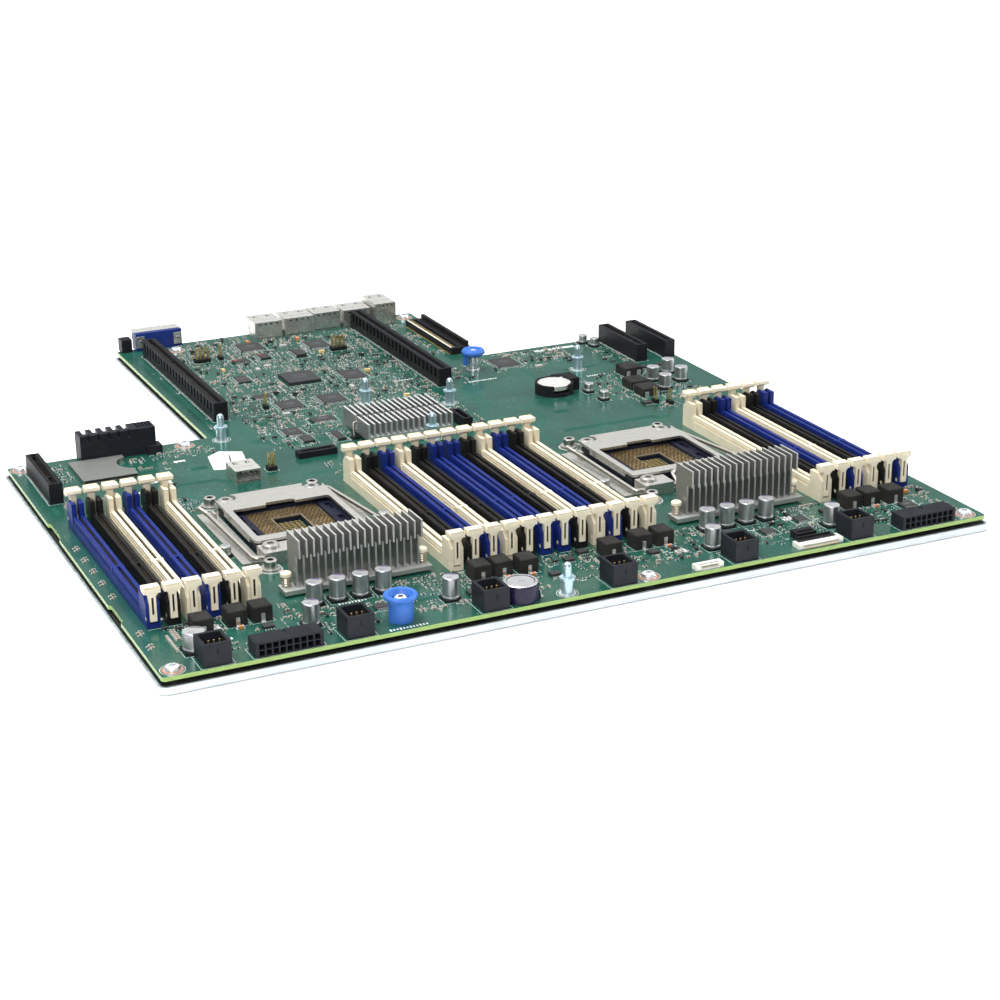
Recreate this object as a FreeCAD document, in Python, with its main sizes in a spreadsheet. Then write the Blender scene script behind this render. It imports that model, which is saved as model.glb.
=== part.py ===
import FreeCAD, Part, Sketcher
import math
import os
import re

# Dual-socket server motherboard on its sheet-metal tray.
# Frame: origin on the tray's underside, below the front-left corner of the circuit board.
# +X runs along the front edge, +Y to the rear connectors, +Z up. Millimetres.

doc = FreeCAD.newDocument("server_motherboard")
sheet = doc.addObject("Spreadsheet::Sheet", "Sizes")
doc.recompute()

# ---------------------------------------------------------------- driving dimensions

SIZES = {
    # circuit board outline: a wide front area, a right rear area and a rear tail
    "board_width": 430.4, "board_depth_left": 292.7, "board_depth_right": 370.2,
    "board_depth_tail": 483.4, "tail_left": 113.9, "tail_right": 318.4,
    "board_thickness": 2.0, "board_corner": 2.0, "notch_depth": 1.3,
    "notch_one_start": 64.0, "notch_one_end": 86.0, "notch_two_start": 177.0, "notch_two_end": 201.0,
    # tray, insulator and stack heights
    "sheet_metal": 1.2, "tray_overhang": 1.6, "tray_rim": 3.5, "tray_corner": 4.0,
    "film_thickness": 0.4, "standoff_height": 4.5, "standoff_radius": 3.0, "film_inset": 0.3,
    "tray_window_length": 58.0, "tray_window_width": 44.0, "tray_window_corner": 5.0,
    # board screws
    "screw_head_radius": 3.7, "screw_head_height": 2.3, "screw_radius": 1.45, "screw_bore": 1.5,
    "screw_recess_radius": 1.5, "screw_recess_depth": 1.2, "board_hole_radius": 1.75,
    # memory sockets
    "slot_pitch": 9.525, "slot_left_bank": 11.9, "slot_centre_bank": 160.7, "slot_right_bank": 368.6,
    "slot_middle": 122.5, "slot_half_length": 70.5, "slot_half_width": 3.25, "slot_rail_half_width": 2.7,
    "slot_step_height": 5.4, "slot_height": 8.4, "tower_length": 10.5, "tower_height": 15.0,
    "tower_shoulder": 11.5, "tower_slope": 3.0, "card_groove": 1.6, "card_groove_floor": 2.8,
    "card_half_length": 66.7, "key_offset": -12.0, "key_width": 1.5, "contact_pocket": 2.3,
    "contact_half_length": 63.0, "contact_gauge": 0.22,
    # memory latches
    "latch_window": 3.6, "latch_window_floor": 2.2, "latch_window_depth": 7.0,
    "latch_axis_setback": 1.2, "latch_axis_height": 4.6, "latch_pin_radius": 1.0, "latch_bore": 1.05,
    "latch_width": 3.2, "latch_reach": 0.8, "latch_thickness": 2.8, "latch_bottom": 3.4,
    "latch_head_bottom": 17.0, "latch_head_top": 19.8, "latch_head_width": 7.8, "latch_head_depth": 5.2,
    "latch_foot": 3.0, "latch_groove": 1.1, "latch_groove_depth": 0.9,
    # processor stations: the same layout repeated to the right
    "station_x": 109.6, "station_y": 140.5, "station_step": 208.0,
    "socket_half_x": 27.6, "socket_half_y": 25.5, "socket_height": 6.3, "ledge_height": 4.7,
    "ledge_half_x": 26.3, "ledge_half_y": 22.8, "field_half_x": 19.5, "field_half_y": 20.5,
    "field_floor": 2.4, "field_thickness": 0.6, "cavity_length": 15.0, "cavity_width": 20.0,
    "cavity_shift": -1.5, "stud_spacing_x": 56.0, "stud_spacing_y": 94.0, "stud_radius": 3.2,
    "stud_height": 5.2, "stud_collar_radius": 5.0, "stud_collar_height": 1.2, "stud_shank_radius": 2.4,
    "stud_thread_radius": 1.65, "stud_thread_depth": 7.0,
    "frame_screw_x": 23.4, "frame_screw_y": 34.5, "frame_screw_head": 4.1, "frame_screw_shank": 1.9,
    "frame_screw_head_height": 2.0, "drive_radius": 1.5,
    "frame_half_x": 29.0, "frame_gauge": 1.2, "flange_outer": 39.0, "flange_inner": 31.0,
    "front_bar_near": -42.0, "front_bar_far": -30.0, "front_bar_height": 6.4, "front_gap_left": -12.0,
    "front_gap_right": 16.0, "rear_bar_near": 30.0, "rear_bar_far": 35.6, "rear_bar_height": 5.6,
    "ear_far": 40.6, "ear_inner": 19.0, "ear_outer": 26.0,
    "backplate_half_x": 33.0, "backplate_half_y": 51.0, "backplate_thickness": 1.6,
    "plate_gauge": 1.4, "plate_bottom": 6.6, "plate_half_x": 29.2, "plate_front": -29.0,
    "plate_rear": 38.5, "opening_half_x": 25.8, "opening_front": -22.5, "opening_rear": 16.5,
    "opening_corner": 3.0, "plate_hole_radius": 5.3, "plate_skirt": 2.2, "plate_skirt_front": -20.0,
    "plate_skirt_rear": 20.0, "knuckle_inner": 6.0, "knuckle_outer": 13.0, "knuckle_half": 2.0,
    "rod_radius": 1.2, "rod_bore": 1.25, "rod_height": 3.4, "rod_bend": 2.6,
    "front_rod_y": -39.5, "rear_rod_y": 38.5, "arm_start_x": 33.6, "arm_end_x": 37.6,
    "arm_length": 60.0, "arm_lift": 3.2, "arm_tip": 5.0, "crank_left": -8.0, "crank_right": 12.0,
    "crank_reach": 8.0, "crank_lift": 4.2,
    # voltage-regulator heat sinks, placed from the station centre
    "sink_left": -33.8, "sink_right": 40.4, "sink_front": -83.5, "sink_rear": -67.5, "sink_bottom": 1.0,
    "sink_base": 2.2, "fin_count": 18, "fin_pitch": 3.6, "fin_gauge": 0.9, "fin_first": -27.0,
    "fin_front_upper": -85.5, "fin_front_lower": -80.5, "fin_rear": -69.5, "fin_step": 19.2,
    "fin_top": 28.0, "sink_pin_left": -30.6, "sink_pin_right": 38.0, "sink_tab_half": 2.8,
    "sink_tab_length": 6.4, "sink_pin_y": -76.5,
    "stage_first": -24.0, "stage_pitch": 10.0, "stage_y": -79.5, "stage_length": 6.0, "stage_width": 5.0,
    "push_head_radius": 2.7, "push_head_height": 1.9, "push_stem_radius": 1.3, "push_top": 10.2,
    "push_hole_radius": 1.4, "spring_wire": 0.35, "spring_radius": 2.1, "spring_turns": 4.5,
    # chipset and its heat sink
    "chipset_x": 216.3, "chipset_y": 258.6, "chipset_side": 36.0, "chipset_height": 2.4,
    "chip_sink_length": 51.6, "chip_sink_width": 39.0, "chip_sink_base": 2.4, "chip_sink_top": 12.2,
    "chip_fin_count": 16, "chip_fin_gauge": 1.2, "chip_sink_gap": 2.0, "clip_wire": 0.6,
    "clip_height": 8.4, "clip_overhang": 2.0, "clip_arm": 22.0, "clip_arm_out": 7.0,
    # riser and short card slots
    "riser_width": 8.4, "riser_length": 147.0, "riser_height": 11.1, "riser_left_x": 126.3,
    "riser_left_y": 318.6, "riser_right_x": 269.6, "riser_right_y": 321.6, "riser_groove": 1.9,
    "riser_groove_depth": 8.0, "riser_wall_end": 2.4, "riser_window_count": 23, "riser_window": 3.2,
    "riser_window_depth": 0.9, "riser_window_height": 5.6, "riser_key_at": 96.0,
    "short_slot_length": 52.0, "short_slot_width": 7.2, "short_left_x": 7.8, "short_left_y": 227.0,
    "short_mid_x": 401.4, "short_right_x": 421.3, "short_rear_y": 312.8, "hook_length": 2.6,
    # front-edge connectors
    "fan_first_x": 19.0, "fan_pitch": 66.2, "fan_y": 1.2, "fan_width": 12.8, "fan_depth": 14.0,
    "fan_height": 10.6, "fan_wall": 1.5, "fan_floor": 2.2, "pin_side": 0.64, "pin_pitch": 2.54,
    "fan_pin_top": 8.6, "power_left_x": 42.4, "power_right_x": 380.2, "power_y": 0.8,
    "power_width": 31.4, "power_depth": 10.4, "power_height": 7.0, "power_columns": 9,
    "power_pitch": 3.2, "power_cell": 2.5, "power_cell_depth": 7.6, "power_pin_setback": 4.4,
    "power_row_gap": 3.0,
    "power_slot_pitch": 5.7, "flap_pivot_setback": 0.6, "flap_pivot_height": 1.5,
    "flap_pivot_radius": 0.45, "flap_pivot_bore": 0.5,
    # handle, plunger and guide pins
    "handle_x": 114.8, "handle_y": 11.6, "handle_radius": 5.8, "handle_rim": 7.9, "handle_height": 13.0,
    "handle_bore": 4.4, "handle_cup_depth": 3.6, "handle_screw_head": 2.9, "knob_x": 302.6, "knob_y": 344.0,
    "knob_radius": 7.2,
    "knob_height": 4.2, "knob_bottom": 9.3, "sleeve_radius": 3.3, "sleeve_bore": 1.65,
    "sleeve_height": 8.8, "sleeve_lip": 0.8, "sleeve_counterbore": 2.6, "plunger_radius": 1.6,
    "plunger_tip": -7.4, "plunger_shoulder": 1.2, "plunger_collar_radius": 2.45,
    "plunger_collar_height": 0.6, "plunger_spring_radius": 2.15, "plunger_spring_wire": 0.24,
    "plunger_spring_turns": 3.5, "leg_width": 2.2, "leg_length": 5.4,
    "guide_radius": 2.9, "guide_flange_radius": 3.8, "guide_flange_height": 8.2,
    "guide_flange_gauge": 1.0, "guide_tip_radius": 2.0, "guide_top": 15.6, "guide_shank_radius": 1.9,
    # capacitors and inductors
    "can_radius": 4.0, "can_height": 11.4, "can_foot_margin": 0.2, "can_foot_cut": 1.6,
    "can_base_height": 1.0,
    "small_can_radius": 2.8, "small_can_height": 5.8, "bulk_can_radius": 5.1, "bulk_can_height": 9.6,
    "rear_can_radius": 3.9, "rear_can_height": 9.2, "backup_radius": 8.5, "backup_height": 8.9,
    "can_row_first": -23.6, "can_row_pitch": 11.4, "can_row_y": -95.0, "can_left_x": -33.3,
    "can_left_y": -116.8, "can_right_x": 34.8, "can_right_y": -117.6, "can_side_x": -42.3,
    "can_side_y": -21.8, "choke_length": 9.0, "choke_width": 9.8, "choke_height": 7.6,
    "rear_choke_side": 12.0,
    "rear_choke_height": 5.4,
    # battery
    "battery_x": 327.2, "battery_y": 281.0, "battery_radius": 10.0, "battery_thickness": 3.2,
    "holder_radius": 11.6, "holder_height": 6.6, "holder_floor": 3.1,
    # rear panel connectors
    "panel_y": 487.0,
}

# name: (centre x, centre y, length along X, width along Y, height)
CHIPS = {
    "network_chip": (193.5, 452.5, 15.6, 15.0, 1.4), "bridge_chip": (234.6, 439.8, 13.6, 14.6, 1.2),
    "management_chip": (199.0, 374.5, 20.5, 21.0, 2.2), "buffer_chip": (231.0, 367.5, 13.6, 16.5, 1.4),
    "flash_chip": (166.6, 388.0, 8.0, 12.6, 1.2), "clock_chip": (175.6, 327.6, 14.2, 14.6, 1.4),
    "switch_chip": (202.2, 328.0, 14.4, 15.0, 1.4), "logic_chip": (183.6, 294.0, 14.0, 7.0, 1.2),
    "storage_chip": (325.6, 347.5, 15.0, 17.0, 1.4), "driver_chip": (166.0, 350.0, 11.0, 4.6, 1.2),
    "boot_chip": (178.0, 425.0, 10.0, 5.8, 1.6), "spare_boot_chip": (194.6, 428.0, 6.4, 9.2, 1.6),
    "sensor_chip": (160.0, 280.0, 10.2, 11.0, 1.2), "memory_chip": (163.0, 264.0, 6.4, 9.6, 1.6),
    "supply_chip": (181.0, 262.0, 4.6, 13.6, 1.6), "timer_chip": (216.5, 424.0, 6.6, 12.0, 2.4),
    "fan_chip": (111.6, 28.4, 6.4, 4.6, 1.2), "rail_chip": (319.4, 29.4, 7.0, 6.0, 1.2),
    "gate_chip": (343.0, 36.4, 6.4, 6.0, 1.2), "port_chip": (403.0, 29.4, 7.6, 6.4, 1.2),
}

# name: (x, y) of the middle; the pins of each header stand in rows of two along Y
PIN_HEADERS = {
    "service_header": (156.5, 437.0, 4), "jumper_header": (168.6, 437.0, 1),
    "debug_header": (161.2, 329.0, 1), "panel_header": (243.5, 424.0, 4),
    "intrusion_header": (129.0, 227.0, 2), "rear_header_one": (371.5, 236.0, 1),
    "rear_header_two": (378.0, 230.0, 1),
}

BOARD_SCREWS = {
    "front_left": (6.6, 6.4), "front_middle": (238.9, 6.0), "front_right": (421.6, 6.4),
    "rear_left": (6.1, 286.8), "rear_inner": (98.2, 286.0), "tail_left": (149.0, 468.5),
    "tail_right": (310.4, 474.0),
}

GUIDE_PINS = {
    "left": (119.9, 286.2), "tail_front": (217.9, 312.2), "centre": (227.6, 235.0),
    "riser": (262.5, 289.7), "right": (361.0, 316.0), "front": (195.6, 5.2),
}

# kind and middle of the cans that stand away from the processor stations
LOOSE_CANS = (
    ("small", 153.6, 126.9), ("bulk", 21.0, 21.0), ("rear", 391.4, 274.6), ("rear", 407.4, 284.6),
    ("rear", 390.4, 257.6), ("rear", 406.6, 267.0), ("small", 390.0, 365.0), ("small", 393.4, 355.4),
    ("small", 345.8, 271.4), ("small", 347.0, 254.2),
)

# name: low corner x, y and size x, y, z of the plain rectangular bodies on the board
BLOCKS = {
    "power_block": (38.8, 282.6, 42.4, 11.4, 15.1), "power_block_tail": (75.4, 279.6, 8.4, 8.0, 4.8),
    "card_socket": (31.0, 248.2, 30.0, 33.0, 2.2), "mezzanine": (148.0, 235.5, 22.5, 6.5, 3.4),
    "side_connector": (250.4, 243.0, 5.8, 19.0, 6.0), "tail_connector": (303.6, 379.5, 13.0, 75.0, 4.2),
    "tail_guide": (314.0, 381.0, 2.2, 72.0, 7.2), "inner_usb": (104.3, 213.6, 14.4, 16.6, 7.0),
    "white_ribbon": (262.2, 1.1, 15.0, 4.4, 2.4), "wide_ribbon": (320.4, 2.2, 25.4, 6.2, 2.4),
    "ribbon_flap": (322.4, 6.0, 21.4, 4.6, 1.8), "flat_socket": (326.0, 12.6, 11.0, 6.6, 3.6),
}

# name: low corner x, width along X, front face y, height of each rear-panel port
PORTS = {
    "video_port": (125.6, 30.4, 478.0, 11.4), "network_one": (202.4, 18.6, 467.0, 11.6),
    "network_two": (223.6, 20.4, 468.5, 11.6), "serial_port": (244.6, 18.6, 471.0, 11.8),
    "network_three": (265.0, 19.4, 469.0, 11.8), "usb_stack": (285.0, 14.6, 462.0, 15.4),
    "audio_block": (116.2, 6.8, 478.6, 8.2),
}

ROW = 0


def store(alias, number):
    """Put one plain number in the sheet under a name of its own."""
    global ROW
    ROW += 1
    sheet.set("A%d" % ROW, alias)
    sheet.set("B%d" % ROW, repr(number))
    sheet.setAlias("B%d" % ROW, alias)
    ALIASES.add(alias)


ALIASES = set()
for alias, number in SIZES.items():
    store(alias, number)
for name, parts in CHIPS.items():
    for suffix, number in zip(("x", "y", "length", "width", "height"), parts):
        store(name + "_" + suffix, number)
for name, parts in PIN_HEADERS.items():
    for suffix, number in zip(("x", "y", "columns"), parts):
        store(name + "_" + suffix, number)
for name, parts in BOARD_SCREWS.items():
    for suffix, number in zip(("x", "y"), parts):
        store("screw_" + name + "_" + suffix, number)
for name, parts in GUIDE_PINS.items():
    for suffix, number in zip(("x", "y"), parts):
        store("guide_" + name + "_" + suffix, number)
for index, (kind, x, y) in enumerate(LOOSE_CANS):
    store("loose_can_%d_x" % index, x)
    store("loose_can_%d_y" % index, y)
for name, parts in BLOCKS.items():
    for suffix, number in zip(("x", "y", "length", "width", "height"), parts):
        store(name + "_" + suffix, number)
for name, parts in PORTS.items():
    for suffix, number in zip(("x", "length", "y", "height"), parts):
        store(name + "_" + suffix, number)
doc.recompute()

BOARD_BOTTOM = "(sheet_metal + standoff_height)"
BOARD_TOP = "(sheet_metal + standoff_height + board_thickness)"
X_AXIS = FreeCAD.Vector(1, 0, 0)
Y_AXIS = FreeCAD.Vector(0, 1, 0)
Z_AXIS = FreeCAD.Vector(0, 0, 1)

# ---------------------------------------------------------------- helpers


def expression(text):
    """Turn 'board_width / 2' into 'Sizes.board_width / 2'."""
    def name_it(match):
        word = match.group(0)
        return "Sizes." + word if word in ALIASES else word
    return re.sub(r"[a-z][a-z0-9_]*", name_it, str(text))


def value(text):
    """The number that a sheet expression gives now."""
    return float(sheet.evalExpression(expression(text)))


def bind(item, prop, text):
    item.setExpression(prop, expression(text))


def bind_place(item, x, y, z):
    for axis, text in zip("xyz", (x, y, z)):
        bind(item, "Placement.Base." + axis, text)


def box(name, x, y, z, length, width, height):
    """A box from its low corner and its size, all six as sheet expressions."""
    item = doc.addObject("Part::Box", name)
    bind(item, "Length", length)
    bind(item, "Width", width)
    bind(item, "Height", height)
    bind_place(item, x, y, z)
    return item


def cylinder(name, x, y, z, radius, height, turn=None):
    """A cylinder from the middle of its base; it stands along Z unless turned."""
    item = doc.addObject("Part::Cylinder", name)
    bind(item, "Radius", radius)
    bind(item, "Height", height)
    if turn:
        item.Placement.Rotation = turn
    bind_place(item, x, y, z)
    return item


ALONG_X = FreeCAD.Rotation(Y_AXIS, 90)
ALONG_Y = FreeCAD.Rotation(X_AXIS, -90)


def fuse(name, *items):
    item = doc.addObject("Part::MultiFuse", name)
    item.Shapes = list(items)
    return item


def cut(name, base, *tools):
    item = doc.addObject("Part::Cut", name)
    item.Base = base
    item.Tool = tools[0] if len(tools) == 1 else fuse(name + "_tools", *tools)
    return item


def origin_plane(body, role):
    for feature in body.Origin.OriginFeatures:
        if feature.Role == role:
            return feature
    raise RuntimeError("no plane " + role)


def outline(body, name, plane, corners):
    """A closed polygon sketch whose corners are pairs of sheet expressions."""
    sketch = body.newObject("Sketcher::SketchObject", name)
    sketch.AttachmentSupport = [(origin_plane(body, plane), "")]
    sketch.MapMode = "FlatFace"
    points = [FreeCAD.Vector(value(x), value(y), 0) for x, y in corners]
    count = len(points)
    for i in range(count):
        sketch.addGeometry(Part.LineSegment(points[i], points[(i + 1) % count]), False)
    for i in range(count):
        sketch.addConstraint(Sketcher.Constraint("Coincident", i, 2, (i + 1) % count, 1))
    for i, (x, y) in enumerate(corners):
        for kind, text, number, axis in (("DistanceX", x, points[i].x, -2), ("DistanceY", y, points[i].y,
                                                                             -1)):
            if abs(number) < 1e-6:
                sketch.addConstraint(Sketcher.Constraint("PointOnObject", i, 1, axis))
            else:
                index = sketch.addConstraint(Sketcher.Constraint(kind, -1, 1, i, 1, number))
                sketch.setExpression("Constraints[%d]" % index, expression(text))
    return sketch


def slab(name, corners, bottom, thickness, plane="XY_Plane", place=None):
    """A polygon padded to a thickness. On XY it starts at height bottom; on YZ at x = bottom."""
    body = doc.addObject("PartDesign::Body", name)
    sketch = outline(body, name + "_outline", plane, corners)
    pad = body.newObject("PartDesign::Pad", name + "_pad")
    pad.Profile = sketch
    bind(pad, "Length", thickness)
    if plane == "XY_Plane":
        bind_place(body, "0", "0", bottom)
    else:
        bind_place(body, bottom, "0", "0")
    doc.recompute()
    return body


def round_uprights(body, radius, keep=None):
    """Round the vertical edges of a pad, or those that keep() picks by their midpoint."""
    tip = body.Tip
    names = []
    for i, edge in enumerate(tip.Shape.Edges):
        first, last = edge.Vertexes[0].Point, edge.Vertexes[-1].Point
        upright = abs(first.x - last.x) < 1e-6 and abs(first.y - last.y) < 1e-6
        if upright and (keep is None or keep(edge.CenterOfMass)):
            names.append("Edge%d" % (i + 1))
    fillet = body.newObject("PartDesign::Fillet", body.Name + "_corners")
    fillet.Base = (tip, names)
    bind(fillet, "Radius", radius)
    doc.recompute()
    return body


def turned(name, x, y, z, corners):
    """A turned piece: a half profile of radius and height, revolved about a vertical axis."""
    body = doc.addObject("PartDesign::Body", name)
    sketch = outline(body, name + "_profile", "XZ_Plane", corners)
    turn = body.newObject("PartDesign::Revolution", name + "_turned")
    turn.Profile = sketch
    turn.ReferenceAxis = (sketch, ["V_Axis"])
    turn.Angle = 360
    bind_place(body, x, y, z)
    doc.recompute()
    return body


def copies(label, pattern, places):
    """One node made of separate solids: copies of a pattern at (x, y, turn about Z)."""
    doc.recompute()
    solids = []
    for place in places:
        turn = place[2] if len(place) > 2 else 0
        for solid in pattern.Shape.Solids:
            piece = solid.copy()
            piece.rotate(FreeCAD.Vector(0, 0, 0), Z_AXIS, turn)
            piece.translate(FreeCAD.Vector(value(place[0]), value(place[1]), 0))
            solids.append(piece)
    return collect(label, solids)


def collect(label, solids):
    """A node whose separate solids are already in place."""
    item = doc.addObject("Part::Feature", label)
    item.Shape = Part.makeCompound(solids) if len(solids) > 1 else solids[0]
    return node(label, item)


def node(label, item):
    item.Label = label
    NODES.append(item)
    return item


NODES = []
COIL_STEPS = 14


def bent_rod(points, radius, bend):
    """A round rod that follows straight runs joined by bends of one radius."""
    edges = []
    start = points[0]
    for before, corner, after in zip(points, points[1:], points[2:]):
        incoming = (corner - before).normalize()
        outgoing = (after - corner).normalize()
        half = incoming.getAngle(outgoing) / 2
        reach = bend * math.tan(half)
        first = corner - incoming * reach
        last = corner + outgoing * reach
        inward = (outgoing - incoming).normalize()
        middle = corner + inward * (bend / math.cos(half) - bend)
        edges.append(Part.LineSegment(start, first).toShape())
        edges.append(Part.Arc(first, middle, last).toShape())
        start = last
    edges.append(Part.LineSegment(start, points[-1]).toShape())
    path = Part.Wire(edges)
    ring = Part.Wire([Part.makeCircle(radius, points[0], points[1] - points[0])])
    return path.makePipeShell([ring], True, False)


def vector(x, y, z):
    return FreeCAD.Vector(value(x), value(y), value(z))


# ---------------------------------------------------------------- tray, film and circuit board


def board_corners(grow="0", notched=False):
    """The plan outline, grown outwards by an amount, counter-clockwise from the front left."""
    left = "0 - (%s)" % grow
    right = "board_width + (%s)" % grow
    corners = [(left, left), (right, left), (right, "board_depth_right + (%s)" % grow),
               ("tail_right + (%s)" % grow, "board_depth_right + (%s)" % grow),
               ("tail_right + (%s)" % grow, "board_depth_tail + (%s)" % grow),
               ("tail_left - (%s)" % grow, "board_depth_tail + (%s)" % grow),
               ("tail_left - (%s)" % grow, "board_depth_left + (%s)" % grow),
               (left, "board_depth_left + (%s)" % grow)]
    if notched:
        for start, end in (("notch_two_start", "notch_two_end"), ("notch_one_start", "notch_one_end")):
            corners += [("0", end), ("notch_depth", end + " - notch_depth"),
                        ("notch_depth", start + " + notch_depth"), ("0", start)]
    return corners


def hole_list():
    """Every hole through the circuit board: name, x, y, radius."""
    holes = []
    for name in BOARD_SCREWS:
        holes.append(("screw_" + name, "screw_%s_x" % name, "screw_%s_y" % name, "board_hole_radius"))
    for name in GUIDE_PINS:
        holes.append(("guide_" + name, "guide_%s_x" % name, "guide_%s_y" % name,
                      "guide_shank_radius + 0.2"))
    holes.append(("knob", "knob_x", "knob_y", "plunger_radius + 0.4"))
    holes.append(("handle", "handle_x", "handle_y", "board_hole_radius"))
    for side in range(2):
        middle = "station_x + %d * station_step" % side
        for across in (-1, 1):
            for along in (-1, 1):
                tag = "%d_%d_%d" % (side, across + 1, along + 1)
                holes.append(("stud_" + tag, "%s + %d * stud_spacing_x / 2" % (middle, across),
                              "station_y + %d * stud_spacing_y / 2" % along, "stud_shank_radius + 0.1"))
                holes.append(("torx_" + tag, "%s + %d * frame_screw_x" % (middle, across),
                              "station_y + %d * frame_screw_y" % along, "frame_screw_shank + 0.2"))
        for pin in ("sink_pin_left", "sink_pin_right"):
            holes.append(("push_%d_%s" % (side, pin), "%s + %s" % (middle, pin),
                          "station_y + sink_pin_y", "push_hole_radius + 0.1"))
    return holes


def make_board():
    blank = slab("board_blank", board_corners(notched=True), BOARD_BOTTOM, "board_thickness")
    round_uprights(blank, "board_corner",
                   lambda p: p.x > value("notch_depth") + 0.5 or p.y < 1 or p.y > 250)
    drills = [cylinder("drill_" + name, x, y, BOARD_BOTTOM + " - 1", radius, "board_thickness + 2")
              for name, x, y, radius in hole_list()]
    node("circuit_board", cut("circuit_board", blank, *drills))


def fastened_places():
    """Places where a screw or pin goes down through the film to the tray."""
    places = [("screw_%s_x" % n, "screw_%s_y" % n) for n in BOARD_SCREWS]
    places.append(("handle_x", "handle_y"))
    return places


def make_tray():
    shell = slab("tray_blank", board_corners("tray_overhang"), "0", "tray_rim")
    round_uprights(shell, "tray_corner")
    well = slab("tray_well", board_corners("tray_overhang - sheet_metal"), "sheet_metal", "tray_rim")
    round_uprights(well, "tray_corner - sheet_metal")
    windows = []
    for index, (x, y) in enumerate((("22", "96"), ("350", "96"), ("184", "96"), ("22", "200"),
                                    ("350", "220"), ("140", "380"), ("230", "380"))):
        window = slab("tray_window_%d" % index,
                      [(x, y), (x + " + tray_window_length", y),
                       (x + " + tray_window_length", y + " + tray_window_width"),
                       (x, y + " + tray_window_width")], "0 - 1", "sheet_metal + 2")
        windows.append(round_uprights(window, "tray_window_corner"))
    bores = [cylinder("tray_bore_%d" % i, x, y, "0 - 1", "screw_bore", "sheet_metal + 2")
             for i, (x, y) in enumerate(fastened_places())]
    bores.append(cylinder("tray_bore_knob", "knob_x", "knob_y", "0 - 1", "plunger_radius + 0.3",
                          "sheet_metal + 2"))
    node("tray", cut("tray", shell, well, *(windows + bores)))


def make_standoffs():
    post = cylinder("standoff_post", "0", "0", "sheet_metal", "standoff_radius", "standoff_height")
    bore = cylinder("standoff_bore", "0", "0", "sheet_metal - 1", "screw_bore", "standoff_height + 2")
    copies("tray_standoffs", cut("standoff", post, bore), fastened_places())


def make_film():
    sheet_blank = slab("film_blank", board_corners("0 - film_inset"), "tray_rim", "film_thickness")
    round_uprights(sheet_blank, "board_corner")
    clear = [cylinder("film_clear_%d" % i, x, y, "tray_rim - 1", "standoff_radius + 0.3",
                      "film_thickness + 2")
             for i, (x, y) in enumerate(fastened_places() + [("knob_x", "knob_y")])]
    node("insulator_sheet", cut("insulator_sheet", sheet_blank, *clear))


def make_board_screws():
    """Pan-head screws with a cross recess, through the board into the standoffs."""
    head = turned("screw_head", "0", "0", BOARD_TOP,
                  [("0", "0"), ("screw_head_radius", "0"), ("screw_head_radius",
                                                            "screw_head_height * 0.45"),
                   ("screw_head_radius * 0.85", "screw_head_height * 0.8"),
                   ("screw_head_radius * 0.55", "screw_head_height"), ("0", "screw_head_height")])
    shank = cylinder("screw_shank", "0", "0", "0.4", "screw_radius", BOARD_TOP)
    blade = "screw_recess_radius * 0.6"
    slots = [box("screw_slot_x", "0 - screw_recess_radius", "0 - %s / 2" % blade,
                 BOARD_TOP + " + screw_head_height - screw_recess_depth", "2 * screw_recess_radius", blade,
                 "3"),
             box("screw_slot_y", "0 - %s / 2" % blade, "0 - screw_recess_radius",
                 BOARD_TOP + " + screw_head_height - screw_recess_depth", blade, "2 * screw_recess_radius",
                 "3")]
    screw = cut("board_screw", fuse("screw_solid", head, shank), *slots)
    copies("board_screws", screw, fastened_places()[:-1])


def make_guide_pins():
    """Plated pins with a flange part-way up and a domed tip, pressed into the board."""
    pin = turned("guide_pin", "0", "0", BOARD_TOP,
                 [("0", "0 - board_thickness"), ("guide_shank_radius", "0 - board_thickness"),
                  ("guide_shank_radius", "0"), ("guide_radius", "0"),
                  ("guide_radius", "guide_flange_height - guide_flange_gauge"),
                  ("guide_flange_radius", "guide_flange_height - guide_flange_gauge"),
                  ("guide_flange_radius", "guide_flange_height"), ("guide_tip_radius",
                                                                   "guide_flange_height"),
                  ("guide_tip_radius", "guide_top - guide_tip_radius"),
                  ("guide_tip_radius * 0.8", "guide_top - guide_tip_radius * 0.4"),
                  ("guide_tip_radius * 0.4", "guide_top - guide_tip_radius * 0.08"), ("0", "guide_top")])
    copies("guide_pins", pin, [("guide_%s_x" % n, "guide_%s_y" % n) for n in GUIDE_PINS])


# ---------------------------------------------------------------- memory sockets and latches

SLOT_COLOURS = {
    "blue": (("slot_left_bank", (0, 3)), ("slot_centre_bank", (2, 5, 6, 9)), ("slot_right_bank", (2, 5))),
    "black": (("slot_left_bank", (1, 4)), ("slot_centre_bank", (1, 4, 7, 10)), ("slot_right_bank", (1, 4))),
    "white": (("slot_left_bank", (2, 5)), ("slot_centre_bank", (0, 3, 8, 11)), ("slot_right_bank", (0, 3))),
}
BANKS = {"left": ("slot_left_bank", 6), "centre": ("slot_centre_bank", 12), "right": ("slot_right_bank", 6)}


def slot_place(bank, index):
    return ("%s + %d * slot_pitch" % (bank, index), "slot_middle")


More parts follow.
